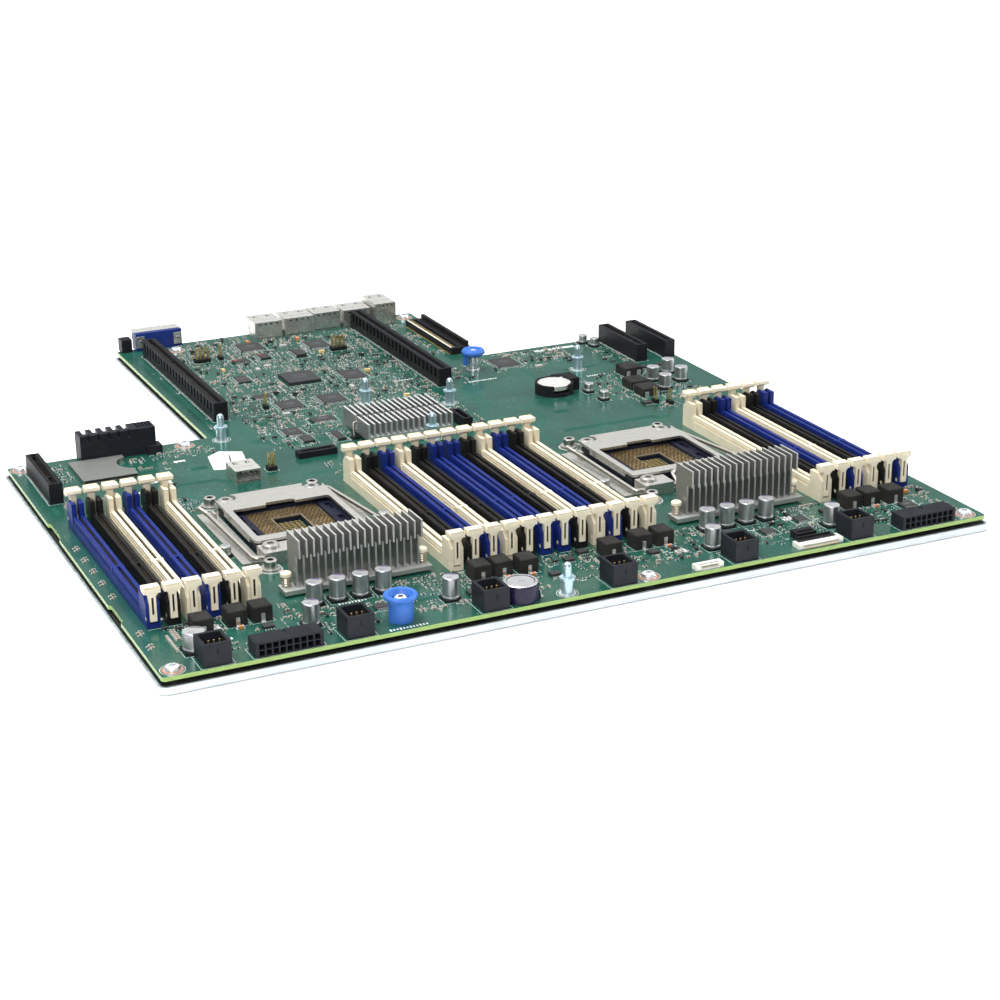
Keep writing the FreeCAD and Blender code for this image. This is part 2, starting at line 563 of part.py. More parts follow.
def make_socket_pattern():
    """A memory socket about x = 0, y = 0: low rails, a latch tower at each end, card groove and key."""
    rail_half = "(slot_half_length - tower_length)"
    body = [box("rail_low", "0 - slot_half_width", "0 - %s - 1" % rail_half, BOARD_TOP,
                "2 * slot_half_width", "2 * %s + 2" % rail_half, "slot_step_height"),
            box("rail_high", "0 - slot_rail_half_width", "0 - %s - 1" % rail_half, BOARD_TOP,
                "2 * slot_rail_half_width", "2 * %s + 2" % rail_half, "slot_height")]
    cuts = []
    for end, sign in (("front", "0 - "), ("rear", "")):
        face = "%s(slot_half_length)" % sign
        inner = "%s%s" % (sign, rail_half)
        shoulder = "%s(slot_half_length - tower_slope)" % sign
        body.append(slab("tower_" + end,
                         [(inner, BOARD_TOP), (face, BOARD_TOP), (face, BOARD_TOP + " + tower_shoulder"),
                          (shoulder, BOARD_TOP + " + tower_height"),
                          (inner, BOARD_TOP + " + tower_height")],
                         "0 - slot_half_width", "2 * slot_half_width", plane="YZ_Plane"))
        low = "0 - slot_half_length - 1" if end == "front" else "slot_half_length - latch_window_depth"
        cuts.append(box("latch_window_" + end, "0 - latch_window / 2", low,
                        BOARD_TOP + " + latch_window_floor", "latch_window", "latch_window_depth + 1",
                        "tower_height"))
        axis_y = "%s(slot_half_length - latch_axis_setback)" % sign
        cuts.append(cylinder("latch_bore_" + end, "0 - slot_half_width - 1", axis_y,
                             BOARD_TOP + " + latch_axis_height", "latch_bore", "2 * slot_half_width + 2",
                             ALONG_X))
    key = "key_offset - key_width / 2"
    far = "key_offset + key_width / 2"
    for part, start, end, wide in (("front", "0 - card_half_length", key, "card_groove"),
                                   ("rear", far, "card_half_length", "card_groove")):
        cuts.append(box("groove_" + part, "0 - %s / 2" % wide, start, BOARD_TOP + " + card_groove_floor",
                        wide,
                        "(%s) - (%s)" % (end, start), "tower_height + 5"))
    for part, start, end in (("front", "0 - contact_half_length", key), ("rear", far,
                                                                         "contact_half_length")):
        cuts.append(box("pocket_" + part, "0 - contact_pocket / 2", start,
                        BOARD_TOP + " + card_groove_floor",
                        "contact_pocket", "(%s) - (%s)" % (end, start),
                        "slot_height - card_groove_floor - 0.8"))
    return cut("socket_pattern", fuse("socket_solid", *body), *cuts)


def make_memory_sockets():
    pattern = make_socket_pattern()
    for colour, banks in SLOT_COLOURS.items():
        places = [slot_place(bank, index) for bank, indexes in banks for index in indexes]
        copies("memory_sockets_" + colour, pattern, places)


def make_memory_contacts():
    """Sprung contact strips inside the card grooves, one channel on each side of the key."""
    gap = "0.05"
    parts = []
    for part, start, end in (("front", "0 - contact_half_length", "key_offset - key_width / 2"),
                             ("rear", "key_offset + key_width / 2", "contact_half_length")):
        low = "(%s) + %s" % (start, gap)
        run = "(%s) - (%s) - 2 * %s" % (end, start, gap)
        outer = box("contact_outer_" + part, "0 - contact_pocket / 2 + " + gap, low,
                    BOARD_TOP + " + card_groove_floor", "contact_pocket - 2 * " + gap, run, "4.0")
        inner = box("contact_inner_" + part, "0 - contact_pocket / 2 + contact_gauge + " + gap,
                    low + " - 1",
                    BOARD_TOP + " + card_groove_floor + contact_gauge",
                    "contact_pocket - 2 * contact_gauge - 2 * " + gap, run + " + 2", "4.0")
        parts.append(cut("contact_channel_" + part, outer, inner))
    channels = doc.addObject("Part::Compound", "contact_channels")
    channels.Links = parts
    places = [slot_place(bank, i) for bank, count in BANKS.values() for i in range(count)]
    copies("memory_contacts", channels, places)


def make_latch_pattern():
    """A front latch about the socket's middle: upright arm, wide thumb head, foot and pivot pin."""
    face = "0 - slot_half_length - latch_reach"
    arm = box("latch_arm", "0 - latch_width / 2", face, BOARD_TOP + " + latch_bottom", "latch_width",
              "latch_thickness", "latch_head_bottom - latch_bottom")
    foot = box("latch_foot", "0 - latch_width / 2", face + " + latch_thickness - 0.5",
               BOARD_TOP + " + latch_bottom",
               "latch_width", "latch_foot + 0.5", "1.4")
    head = slab("latch_head",
                [(face + " - 0.2", BOARD_TOP + " + latch_head_bottom"),
                 (face + " + latch_head_depth - 1.4", BOARD_TOP + " + latch_head_bottom"),
                 (face + " + latch_head_depth", BOARD_TOP + " + latch_head_bottom + 1.2"),
                 (face + " + latch_head_depth", BOARD_TOP + " + latch_head_top"),
                 (face + " + 0.5", BOARD_TOP + " + latch_head_top"),
                 (face + " - 0.2", BOARD_TOP + " + latch_head_top - 0.8")],
                "0 - latch_head_width / 2", "latch_head_width", plane="YZ_Plane")
    pin = cylinder("latch_pin", "0 - slot_half_width + 0.1", "0 - slot_half_length + latch_axis_setback",
                   BOARD_TOP + " + latch_axis_height", "latch_pin_radius", "2 * slot_half_width - 0.2",
                   ALONG_X)
    groove = box("latch_groove", "0 - latch_groove / 2", face + " - 1", BOARD_TOP + " + latch_bottom + 2.6",
                 "latch_groove", "latch_groove_depth + 1", "latch_head_bottom - latch_bottom - 4.6")
    return cut("latch_pattern", fuse("latch_solid", arm, foot, head, pin), groove)


def make_latches():
    pattern = make_latch_pattern()
    for end, turn in (("front", 0), ("rear", 180)):
        for bank, (start, count) in BANKS.items():
            places = [slot_place(start, i) + (turn,) for i in range(count)]
            copies("memory_latches_%s_%s" % (end, bank), pattern, places)


# ---------------------------------------------------------------- processor stations

STATIONS = [("station_x", "station_y"), ("station_x + station_step", "station_y")]


def make_socket_bodies():
    outer = box("socket_outer", "0 - socket_half_x", "0 - socket_half_y", BOARD_TOP, "2 * socket_half_x",
                "2 * socket_half_y", "socket_height")
    ledge = box("socket_ledge", "0 - ledge_half_x", "0 - ledge_half_y", BOARD_TOP + " + ledge_height",
                "2 * ledge_half_x", "2 * ledge_half_y", "socket_height")
    field = box("socket_field", "0 - field_half_x", "0 - field_half_y", BOARD_TOP + " + field_floor",
                "2 * field_half_x", "2 * field_half_y", "socket_height")
    cavity = box("socket_cavity", "0 - cavity_length / 2", "cavity_shift - cavity_width / 2",
                 BOARD_TOP + " - 1",
                 "cavity_length", "cavity_width", "socket_height")
    notches = [box("socket_notch_%d" % i, x, y, BOARD_TOP + " + 3.4", length, width, "socket_height")
               for i, (x, y, length, width) in enumerate((
                   ("0 - ledge_half_x + 1.2", "0 - 14", "3.2", "9"), ("0 - ledge_half_x + 1.2", "5", "3.2",
                                                                      "9"),
                   ("ledge_half_x - 4.4", "0 - 14", "3.2", "9"), ("ledge_half_x - 4.4", "5", "3.2", "9")))]
    rests = [box("socket_key_%d" % i, x, y, BOARD_TOP + " + ledge_height - 0.5", "1.2", "2.4", "1.8")
             for i, (x, y) in enumerate((("0 - ledge_half_x - 0.2", "0 - 18"), ("0 - ledge_half_x - 0.2",
                                                                                "15.6"),
                                         ("ledge_half_x - 1.0", "0 - 18"), ("ledge_half_x - 1.0", "15.6")))]
    hollow = cut("socket_hollow", outer, ledge, field, cavity, *notches)
    copies("processor_sockets", fuse("socket_body", hollow, *rests), STATIONS)


def make_contact_fields():
    plate = box("field_plate", "0 - field_half_x + 0.05", "0 - field_half_y + 0.05",
                BOARD_TOP + " + field_floor",
                "2 * field_half_x - 0.1", "2 * field_half_y - 0.1", "field_thickness")
    cavity = box("field_cavity", "0 - cavity_length / 2", "cavity_shift - cavity_width / 2", BOARD_TOP,
                 "cavity_length", "cavity_width", "socket_height")
    copies("processor_contacts", cut("contact_field", plate, cavity), STATIONS)


def make_socket_frames():
    """Steel frame of a socket: board flanges, screw bars, lever bearings and a lever rest."""
    bars = [box("front_bar_left", "0 - frame_half_x", "front_bar_near", BOARD_TOP,
                "frame_half_x + front_gap_left", "front_bar_far - front_bar_near", "front_bar_height"),
            box("front_bar_right", "front_gap_right", "front_bar_near", BOARD_TOP,
                "frame_half_x - front_gap_right", "front_bar_far - front_bar_near", "front_bar_height"),
            box("front_bar_web", "0 - frame_half_x", "front_bar_near + 4", BOARD_TOP, "2 * frame_half_x",
                "front_bar_far - front_bar_near - 4", "frame_gauge"),
            box("rear_bar", "0 - frame_half_x", "rear_bar_near", BOARD_TOP, "2 * frame_half_x",
                "rear_bar_far - rear_bar_near", "rear_bar_height"),
            box("ear_left", "0 - ear_outer", "rear_bar_near + 3", BOARD_TOP, "ear_outer - ear_inner",
                "ear_far - rear_bar_near - 3", "rear_bar_height"),
            box("ear_right", "ear_inner", "rear_bar_near + 3", BOARD_TOP, "ear_outer - ear_inner",
                "ear_far - rear_bar_near - 3", "rear_bar_height")]
    for side, sign in (("left", "0 - "), ("right", "")):
        low = "0 - flange_outer" if side == "left" else "frame_half_x + 0.2"
        bars.append(box("flange_" + side, low, "front_bar_near + 4", BOARD_TOP,
                        "flange_outer - frame_half_x - 0.2",
                        "rear_bar_far - front_bar_near - 4", "frame_gauge"))
        bars.append(box("flange_tie_front_" + side, "%s(frame_half_x + 0.6) - 0.6" % sign,
                        "front_bar_near + 4",
                        BOARD_TOP, "1.2", "front_bar_far - front_bar_near - 4", "frame_gauge"))
        bars.append(box("flange_tie_rear_" + side, "%s(frame_half_x + 0.6) - 0.6" % sign, "rear_bar_near",
                        BOARD_TOP, "1.2", "rear_bar_far - rear_bar_near", "frame_gauge"))
    bars.append(box("lever_rest_left", "0 - flange_inner - 3.4", "20", BOARD_TOP, "1.4", "5", "6.2"))
    bars.append(box("lever_rest_right", "flange_inner + 2.0", "0 - 25", BOARD_TOP, "1.4", "5", "6.2"))
    holes = [cylinder("frame_hole_%d_%d" % (a + 1, b + 1), "%d * frame_screw_x" % a,
                      "%d * frame_screw_y" % b,
                      BOARD_TOP + " - 1", "frame_screw_shank + 0.05",
                      "10") for a in (-1, 1) for b in (-1, 1)]
    holes.append(cylinder("front_rod_bore", "0 - frame_half_x - 1", "front_rod_y",
                          BOARD_TOP + " + rod_height",
                          "rod_bore", "2 * frame_half_x + 2", ALONG_X))
    holes.append(cylinder("rear_rod_bore", "0 - frame_half_x - 1", "rear_rod_y",
                          BOARD_TOP + " + rod_height",
                          "rod_bore", "2 * frame_half_x + 2", ALONG_X))
    copies("socket_frames", cut("socket_frame", fuse("frame_solid", *bars), *holes), STATIONS)


def make_backplates():
    blank = slab("backplate_blank", [("0 - backplate_half_x", "0 - backplate_half_y"),
                                     ("backplate_half_x", "0 - backplate_half_y"),
                                     ("backplate_half_x", "backplate_half_y"),
                                     ("0 - backplate_half_x", "backplate_half_y")],
                 BOARD_BOTTOM + " - backplate_thickness", "backplate_thickness")
    round_uprights(blank, "tray_corner")
    window = box("backplate_window", "0 - cavity_length", "0 - cavity_width", BOARD_BOTTOM + " - 4",
                 "2 * cavity_length", "2 * cavity_width", "5")
    holes = [window]
    for a in (-1, 1):
        for b in (-1, 1):
            tag = "%d_%d" % (a + 1, b + 1)
            holes.append(cylinder("plate_stud_" + tag, "%d * stud_spacing_x / 2" % a,
                                  "%d * stud_spacing_y / 2" % b,
                                  BOARD_BOTTOM + " - 4", "stud_shank_radius + 0.05", "5"))
            holes.append(cylinder("plate_screw_" + tag, "%d * frame_screw_x" % a, "%d * frame_screw_y" % b,
                                  BOARD_BOTTOM + " - 4", "frame_screw_shank + 0.05", "5"))
    copies("socket_backplates", cut("socket_backplate", blank, *holes), STATIONS)


def station_corners(half_x, half_y):
    return [("%s + %d * %s" % (x, a, half_x), "%s + %d * %s" % (y, b, half_y))
            for x, y in STATIONS for a in (-1, 1) for b in (-1, 1)]


def make_cooler_studs():
    """Internally threaded studs that the processor cooler screws into."""
    foot = "0 - board_thickness - backplate_thickness"
    stud = turned("cooler_stud", "0", "0", BOARD_TOP,
                  [("0", foot), ("stud_shank_radius", foot), ("stud_shank_radius", "0"),
                   ("stud_collar_radius", "0"), ("stud_collar_radius", "stud_collar_height"),
                   ("stud_radius", "stud_collar_height"), ("stud_radius", "stud_height - 0.4"),
                   ("stud_radius - 0.4", "stud_height"), ("stud_thread_radius", "stud_height"),
                   ("stud_thread_radius", "stud_height - stud_thread_depth"),
                   ("0", "stud_height - stud_thread_depth")])
    copies("cooler_studs", stud, station_corners("stud_spacing_x / 2", "stud_spacing_y / 2"))


def frame_screw(name, seat):
    """A six-lobe screw whose head sits at a height above the board."""
    foot = "0 - board_thickness - backplate_thickness + 0.2"
    head = turned(name + "_turned", "0", "0", BOARD_TOP,
                  [("0", foot), ("frame_screw_shank", foot), ("frame_screw_shank", seat),
                   ("frame_screw_head", seat), ("frame_screw_head",
                                                seat + " + frame_screw_head_height * 0.7"),
                   ("frame_screw_head - 0.7", seat + " + frame_screw_head_height"),
                   ("0", seat + " + frame_screw_head_height")])
    sockets = [cylinder(name + "_drive", "0", "0",
                        BOARD_TOP + " + %s + frame_screw_head_height - 1.2" % seat,
                        "drive_radius", "3")]
    for lobe in range(6):
        x = "drive_radius * %.4f" % math.cos(math.radians(60 * lobe))
        y = "drive_radius * %.4f" % math.sin(math.radians(60 * lobe))
        sockets.append(cylinder("%s_lobe_%d" % (name, lobe), x, y,
                                BOARD_TOP + " + %s + frame_screw_head_height - 1.2" % seat,
                                "drive_radius * 0.3", "3"))
    return cut(name, head, *sockets)


def make_frame_screws():
    front = frame_screw("front_frame_screw", "front_bar_height")
    rear = frame_screw("rear_frame_screw", "rear_bar_height")
    doc.recompute()
    solids = []
    for pattern, along in ((front, "0 - frame_screw_y"), (rear, "frame_screw_y")):
        for x, y in STATIONS:
            for across in (-1, 1):
                piece = pattern.Shape.Solids[0].copy()
                piece.translate(vector("%s + %d * frame_screw_x" % (x, across), "%s + %s" % (y, along),
                                       "0"))
                solids.append(piece)
    collect("frame_screws", solids)


def make_load_plates():
    """Hinged plate that presses the processor down, with a window, rear knuckles and side skirts."""
    blank = slab("plate_blank", [("0 - plate_half_x", "plate_front"), ("plate_half_x", "plate_front"),
                                 ("plate_half_x", "plate_rear - 4"), ("plate_half_x - 5", "plate_rear + 0"),
                                 ("5 - plate_half_x", "plate_rear + 0"), ("0 - plate_half_x",
                                                                          "plate_rear - 4")],
                 BOARD_TOP + " + plate_bottom", "plate_gauge")
    round_uprights(blank, "opening_corner")
    notch = "7.5"
    opening = slab("plate_opening",
                   [("0 - opening_half_x", "opening_front"), ("opening_half_x", "opening_front"),
                    ("opening_half_x", "opening_rear"), (notch, "opening_rear"),
                    (notch, "opening_rear + 3"),
                    ("0 - " + notch, "opening_rear + 3"), ("0 - " + notch, "opening_rear"),
                    ("0 - opening_half_x", "opening_rear")],
                   BOARD_TOP + " + plate_bottom - 4", "plate_gauge + 8")
    round_uprights(opening, "opening_corner * 0.4")
    holes = [cylinder("plate_hole_%d" % (a + 1), "%d * frame_screw_x" % a, "frame_screw_y",
                      BOARD_TOP + " + plate_bottom - 2", "plate_hole_radius", "6") for a in (-1, 1)]
    extras = []
    for tag, low in (("left", "0 - plate_half_x"), ("right", "plate_half_x - plate_gauge * 0.8")):
        extras.append(box("plate_skirt_" + tag, low, "plate_skirt_front",
                          BOARD_TOP + " + plate_bottom - plate_skirt",
                          "plate_gauge * 0.8", "plate_skirt_rear - plate_skirt_front", "plate_skirt + 0.5"))
    for tag, low in (("left", "0 - knuckle_outer"), ("right", "knuckle_inner")):
        extras.append(box("plate_knuckle_" + tag, low, "rear_rod_y - knuckle_half",
                          BOARD_TOP + " + rod_height - knuckle_half", "knuckle_outer - knuckle_inner",
                          "2 * knuckle_half", "plate_bottom - rod_height + knuckle_half + 0.6"))
    bore = cylinder("plate_rod_bore", "0 - knuckle_outer - 1", "rear_rod_y", BOARD_TOP + " + rod_height",
                    "rod_bore", "2 * knuckle_outer + 2", ALONG_X)
    pattern = cut("load_plate", fuse("plate_solid", cut("plate_windowed", blank, opening, *holes), *extras),
                  bore)
    for label, place in zip(("left", "right"), STATIONS):
        copies("load_plate_" + label, pattern, [place])


def make_load_levers():
    """Two bent rods per socket: the front one cranks over the plate's edge, the rear one carries it."""
    top = BOARD_TOP + " + rod_height"
    for label, (sx, sy) in zip(("left", "right"), STATIONS):
        front = [(sx + " + frame_half_x - 1", sy + " + front_rod_y", top),
                 (sx + " + crank_right", sy + " + front_rod_y", top),
                 (sx + " + crank_right", sy + " + front_rod_y + crank_reach", top + " + crank_lift"),
                 (sx + " + crank_left", sy + " + front_rod_y + crank_reach", top + " + crank_lift"),
                 (sx + " + crank_left", sy + " + front_rod_y", top),
                 (sx + " - arm_start_x", sy + " + front_rod_y", top),
                 (sx + " - arm_end_x", sy + " + front_rod_y + arm_length", top + " + arm_lift"),
                 (sx + " - arm_end_x - 3", sy + " + front_rod_y + arm_length + arm_tip",
                  top + " + arm_lift + 2")]
        rear = [(sx + " - frame_half_x + 1", sy + " + rear_rod_y", top),
                (sx + " + arm_start_x", sy + " + rear_rod_y", top),
                (sx + " + arm_end_x", sy + " + rear_rod_y - arm_length", top + " + arm_lift"),
                (sx + " + arm_end_x + 3", sy + " + rear_rod_y - arm_length - arm_tip",
                 top + " + arm_lift + 2")]
        for name, points in (("front", front), ("rear", rear)):
            path = [vector(*point) for point in points]
            collect("load_lever_%s_%s" % (name, label), [bent_rod(path, value("rod_radius"),
                                                                  value("rod_bend"))])


# ---------------------------------------------------------------- heat sinks


def make_regulator_sinks():
    base = box("sink_plate", "sink_left", "sink_front", BOARD_TOP + " + sink_bottom",
               "sink_right - sink_left",
               "sink_rear - sink_front", "sink_base")
    tabs = [box("sink_tab_" + side, x, "sink_pin_y + sink_tab_half", BOARD_TOP, "sink_tab_length",
                "sink_rear - sink_front", "10")
            for side, x in (("left", "sink_left - 1"), ("right", "sink_right + 1 - sink_tab_length"))]
    foot = BOARD_TOP + " + sink_bottom + sink_base - 0.4"
    fin = slab("fin_profile",
               [("fin_front_lower", foot), ("fin_rear", foot), ("fin_rear", BOARD_TOP + " + fin_top"),
                ("fin_front_upper", BOARD_TOP + " + fin_top"), ("fin_front_upper",
                                                                BOARD_TOP + " + fin_step"),
                ("fin_front_lower", BOARD_TOP + " + fin_step")], "fin_first", "fin_gauge", plane="YZ_Plane")
    pins = [cylinder("sink_hole_%d" % i, x, "sink_pin_y", BOARD_TOP, "push_hole_radius + 0.1", "10")
            for i, x in enumerate(("sink_pin_left", "sink_pin_right"))]
    drilled = cut("sink_drilled", base, *(pins + tabs))
    doc.recompute()
    fins = []
    for index in range(int(value("fin_count"))):
        piece = fin.Shape.Solids[0].copy()
        piece.translate(vector("%d * fin_pitch" % index, "0", "0"))
        fins.append(piece)
    whole = doc.addObject("Part::Feature", "regulator_sink")
    whole.Shape = drilled.Shape.Solids[0].fuse(fins).removeSplitter()
    copies("regulator_heat_sinks", whole, STATIONS)


def pin_places():
    return [("%s + %s" % (x, pin), "%s + sink_pin_y" % y)
            for x, y in STATIONS for pin in ("sink_pin_left", "sink_pin_right")]


def make_push_pins():
    """Sprung plastic pins that hold a regulator heat sink to the board."""
    pin = turned("push_pin", "0", "0", BOARD_TOP,
                 [("0", "0 - board_thickness - 0.2"), ("push_hole_radius - 0.2",
                                                       "0 - board_thickness - 0.2"),
                  ("push_hole_radius - 0.1", "0"), ("push_stem_radius", "0"),
                  ("push_stem_radius", "push_top - push_head_height"),
                  ("push_head_radius", "push_top - push_head_height"), ("push_head_radius",
                                                                        "push_top - 0.5"),
                  ("push_head_radius - 0.5", "push_top"), ("0", "push_top")])
    copies("push_pins", pin, pin_places())


def coil(radius, wire, height, turns):
    """An open coil spring about the Z axis, standing on z = 0, from a hexagonal wire in short facets."""
    sides = 6
    steps = int(COIL_STEPS * turns)
    rings = []
    for step in range(steps + 1):
        angle = 2 * math.pi * turns * step / steps
        rise = wire + (height - 2 * wire) * step / steps
        ring = []
        for side in range(sides):
            around = 2 * math.pi * side / sides
            reach = radius + wire * math.cos(around)
            ring.append(FreeCAD.Vector(reach * math.cos(angle), reach * math.sin(angle),
                                       rise + wire * math.sin(around)))
        rings.append(ring)
    triangles = []
    for lower, upper in zip(rings, rings[1:]):
        for side in range(sides):
            after = (side + 1) % sides
            triangles.append((lower[side], lower[after], upper[side]))
            triangles.append((lower[after], upper[after], upper[side]))
    faces = [Part.Face(Part.makePolygon(list(corners) + [corners[0]])) for corners in triangles]
    faces.append(Part.Face(Part.makePolygon(rings[0] + [rings[0][0]])))
    faces.append(Part.Face(Part.makePolygon(rings[-1] + [rings[-1][0]])))
    shell = Part.makeShell(faces)
    shell.sewShape()
    solid = Part.makeSolid(shell)
    if solid.Volume < 0:
        solid.reverse()
    return solid


def make_push_springs():
    seat = value(BOARD_TOP + " + sink_bottom + sink_base")
    height = value("push_top - push_head_height - sink_bottom - sink_base") - 0.3
    spring = coil(value("spring_radius"), value("spring_wire"), height, value("spring_turns"))
    solids = []
    for x, y in pin_places():
        piece = spring.copy()
        piece.translate(FreeCAD.Vector(value(x), value(y), seat + 0.05))
        solids.append(piece)
    collect("push_pin_springs", solids)


def make_chipset_sink():
    """Cross-cut finned heat sink standing on the chipset package."""
    left = "chipset_x - chip_sink_length / 2"
    front = "chipset_y - chip_sink_width / 2"
    low = BOARD_TOP + " + chipset_height"
    block = box("chip_sink_block", left, front, low, "chip_sink_length", "chip_sink_width",
                "chip_sink_top - chipset_height")
    pitch = "((chip_sink_length - chip_fin_gauge) / (chip_fin_count - 1))"
    cuts = [box("chip_sink_cross", left + " - 1", "chipset_y - chip_sink_gap / 2 - 1",
                low + " + chip_sink_base",
                "chip_sink_length + 2", "chip_sink_gap", "20")]
    for index in range(int(value("chip_fin_count")) - 1):
        start = "%s + %d * %s + chip_fin_gauge" % (left, index, pitch)
        cuts.append(box("chip_sink_slot_%d" % index, start, front + " - 1", low + " + chip_sink_base",
                        pitch + " - chip_fin_gauge", "chip_sink_width + 2", "20"))
    node("chipset_heat_sink", cut("chipset_heat_sink", block, *cuts))


def make_clip():
    """Spring wire that crosses the chipset heat sink in its gap and hooks to the board at both ends."""
    left = "chipset_x - chip_sink_length / 2 - clip_overhang"
    right = "chipset_x + chip_sink_length / 2 + clip_overhang"
    middle = "chipset_y - 1"
    height = BOARD_TOP + " + clip_height"
    points = [(left + " - 0.4", middle + " - 2.4", BOARD_TOP + " + 0.5"), (left, middle, height),
              (right, middle, height), (right + " + clip_arm_out - 1", middle + " + clip_arm",
                                        height + " - 2.4"),
              (right + " + clip_arm_out", middle + " + clip_arm + 1.5", BOARD_TOP + " + 0.7")]
    collect("heat_sink_clip", [bent_rod([vector(*p) for p in points], value("clip_wire"), 1.2)])


# ---------------------------------------------------------------- card slots


def make_riser_slots():
    """Long edge sockets for riser cards: groove with a key, slanted contact windows on the left."""
    body = box("riser_body", "0", "0", BOARD_TOP, "riser_width", "riser_length", "riser_height")
    floor = BOARD_TOP + " + riser_height - riser_groove_depth"
    middle = "riser_width / 2"
    cuts = [box("riser_groove_front", middle + " - riser_groove / 2", "riser_wall_end", floor,
                "riser_groove",
                "riser_key_at - riser_wall_end", "20"),
            box("riser_groove_rear", middle + " - riser_groove / 2", "riser_key_at + 1.6", floor,
                "riser_groove",
                "riser_length - riser_key_at - riser_wall_end - 1.6", "20"),
            box("riser_lead_in", middle + " - riser_groove / 2 - 0.5", "riser_wall_end - 0.8",
                BOARD_TOP + " + riser_height - 0.8", "riser_groove + 1",
                "riser_length - 2 * riser_wall_end + 1.6",
                "2")]
    pitch = "((riser_length - 2 * riser_wall_end) / riser_window_count)"
    for index in range(int(value("riser_window_count"))):
        for side, low in (("left", "0 - 1"), ("right", "riser_width - riser_window_depth")):
            cuts.append(box("riser_window_%s_%d" % (side, index), low,
                            "riser_wall_end + %s * (%d + 0.25)" % (pitch, index),
                            BOARD_TOP + " + riser_height - riser_window_height - 1",
                            "riser_window_depth + 1",
                            "riser_window", "riser_window_height"))
    pattern = cut("riser_slot", body, *cuts)
    copies("riser_slots", pattern, [("riser_left_x", "riser_left_y"), ("riser_right_x", "riser_right_y")])


def make_short_slots():
    body = box("short_body", "0", "0", BOARD_TOP, "short_slot_width", "short_slot_length", "riser_height")
    hook = box("short_hook", "short_slot_width / 2 - 1.6", "short_slot_length - 0.5", BOARD_TOP + " + 5.6",
               "3.2",
               "hook_length + 0.5", "riser_height - 6.4")
    middle = "short_slot_width / 2"
    floor = BOARD_TOP + " + riser_height - riser_groove_depth"
    cuts = [box("short_groove_front", middle + " - riser_groove / 2", "riser_wall_end", floor,
                "riser_groove",
                "11.2", "20"),
            box("short_groove_rear", middle + " - riser_groove / 2", "riser_wall_end + 13", floor,
                "riser_groove",
                "short_slot_length - 2 * riser_wall_end - 13", "20"),
            box("short_lead_in", middle + " - riser_groove / 2 - 0.5", "riser_wall_end - 0.8",
                BOARD_TOP + " + riser_height - 0.8", "riser_groove + 1",
                "short_slot_length - 2 * riser_wall_end + 1.6", "2")]
    pattern = cut("short_slot", fuse("short_solid", body, hook), *cuts)
    copies("short_card_slots", pattern, [("short_left_x", "short_left_y"), ("short_mid_x", "short_rear_y"),
                                         ("short_right_x", "short_rear_y")])


# ---------------------------------------------------------------- front and inner connectors


def make_fan_headers():
    shell = box("fan_shell", "0", "0", BOARD_TOP, "fan_width", "fan_depth", "fan_height")
    well = box("fan_well", "fan_wall", "fan_wall", BOARD_TOP + " + fan_floor", "fan_width - 2 * fan_wall",
               "fan_depth - 2 * fan_wall", "fan_height")
    key = box("fan_key", "fan_width / 2 - 0.4", "0 - 0.5", BOARD_TOP + " + fan_height - 4.6", "0.8", "0.8",
              "2.4")
    places = [("fan_first_x + %d * fan_pitch" % i, "fan_y") for i in range(6)]
    copies("fan_headers", cut("fan_header", shell, well, key), places)


def make_power_connectors():
    shell = box("power_shell", "0", "0", BOARD_TOP, "power_width", "power_depth", "power_height")
    cuts = [box("power_latch_slot", "power_width / 2 - 0.5", "power_depth - 4.5",
                BOARD_TOP + " + power_height - 0.6",
                "1.0", "5", "2")]
    for column in range(int(value("power_columns"))):
        for row in range(2):
            x = "power_width / 2 + (%d - (power_columns - 1) / 2) * power_pitch - power_cell / 2" % column
            z = BOARD_TOP + " + 0.7 + %d * power_row_gap" % row
            cuts.append(box("power_cell_%d_%d" % (column, row), x, "0 - 1", z, "power_cell",
                            "power_cell_depth + 1",
                            "power_cell"))
    pattern = cut("power_connector", shell, *cuts)
    copies("power_connectors", pattern, [("power_left_x", "power_y"), ("power_right_x", "power_y")])


def square_pin(x, y, bottom, top):
    """One square pin with a low corner worked out from its middle."""
    side = value("pin_side")
    height = value(top) - value(bottom)
    corner = FreeCAD.Vector(value(x) - side / 2, value(y) - side / 2, value(bottom))
    return Part.makeBox(side, side, height, corner)


def make_header_pins():
    """Every square contact pin that stands in a fan header, power connector or pin header."""
    pins = []
    for index in range(6):
        for across in (-1.5, -0.5, 0.5, 1.5):
            middle = "fan_first_x + %d * fan_pitch + fan_width / 2" % index
            pins.append(square_pin("%s + %.1f * pin_pitch" % (middle, across),
                                   "fan_y + fan_depth / 2 + 1.6", BOARD_TOP + " + fan_floor",
                                   BOARD_TOP + " + fan_pin_top"))
    for name in PIN_HEADERS:
        columns = int(value(name + "_columns"))
        for column in range(columns):
            for row in (-0.5, 0.5):
                pins.append(square_pin("%s_x + (%d - %.1f) * pin_pitch" % (name, column, (columns - 1) / 2),
                                       "%s_y + %.1f * pin_pitch" % (name, row), BOARD_TOP + " + 2.4",
                                       BOARD_TOP + " + 9.4"))
    side = value("pin_side")
    for start in ("power_left_x", "power_right_x"):
        for column in range(int(value("power_columns"))):
            for row in range(2):
                step = "(%d - (power_columns - 1) / 2)" % column
                x = value("%s + power_width / 2 + %s * power_pitch" % (start, step))
                z = value(BOARD_TOP + " + 0.7 + %d * power_row_gap + power_cell / 2" % row)
                corner = FreeCAD.Vector(x - side / 2, value("power_y + power_pin_setback"), z - side / 2)
                pins.append(Part.makeBox(side, value("power_cell_depth - power_pin_setback"), side, corner))
    collect("contact_pins", pins)


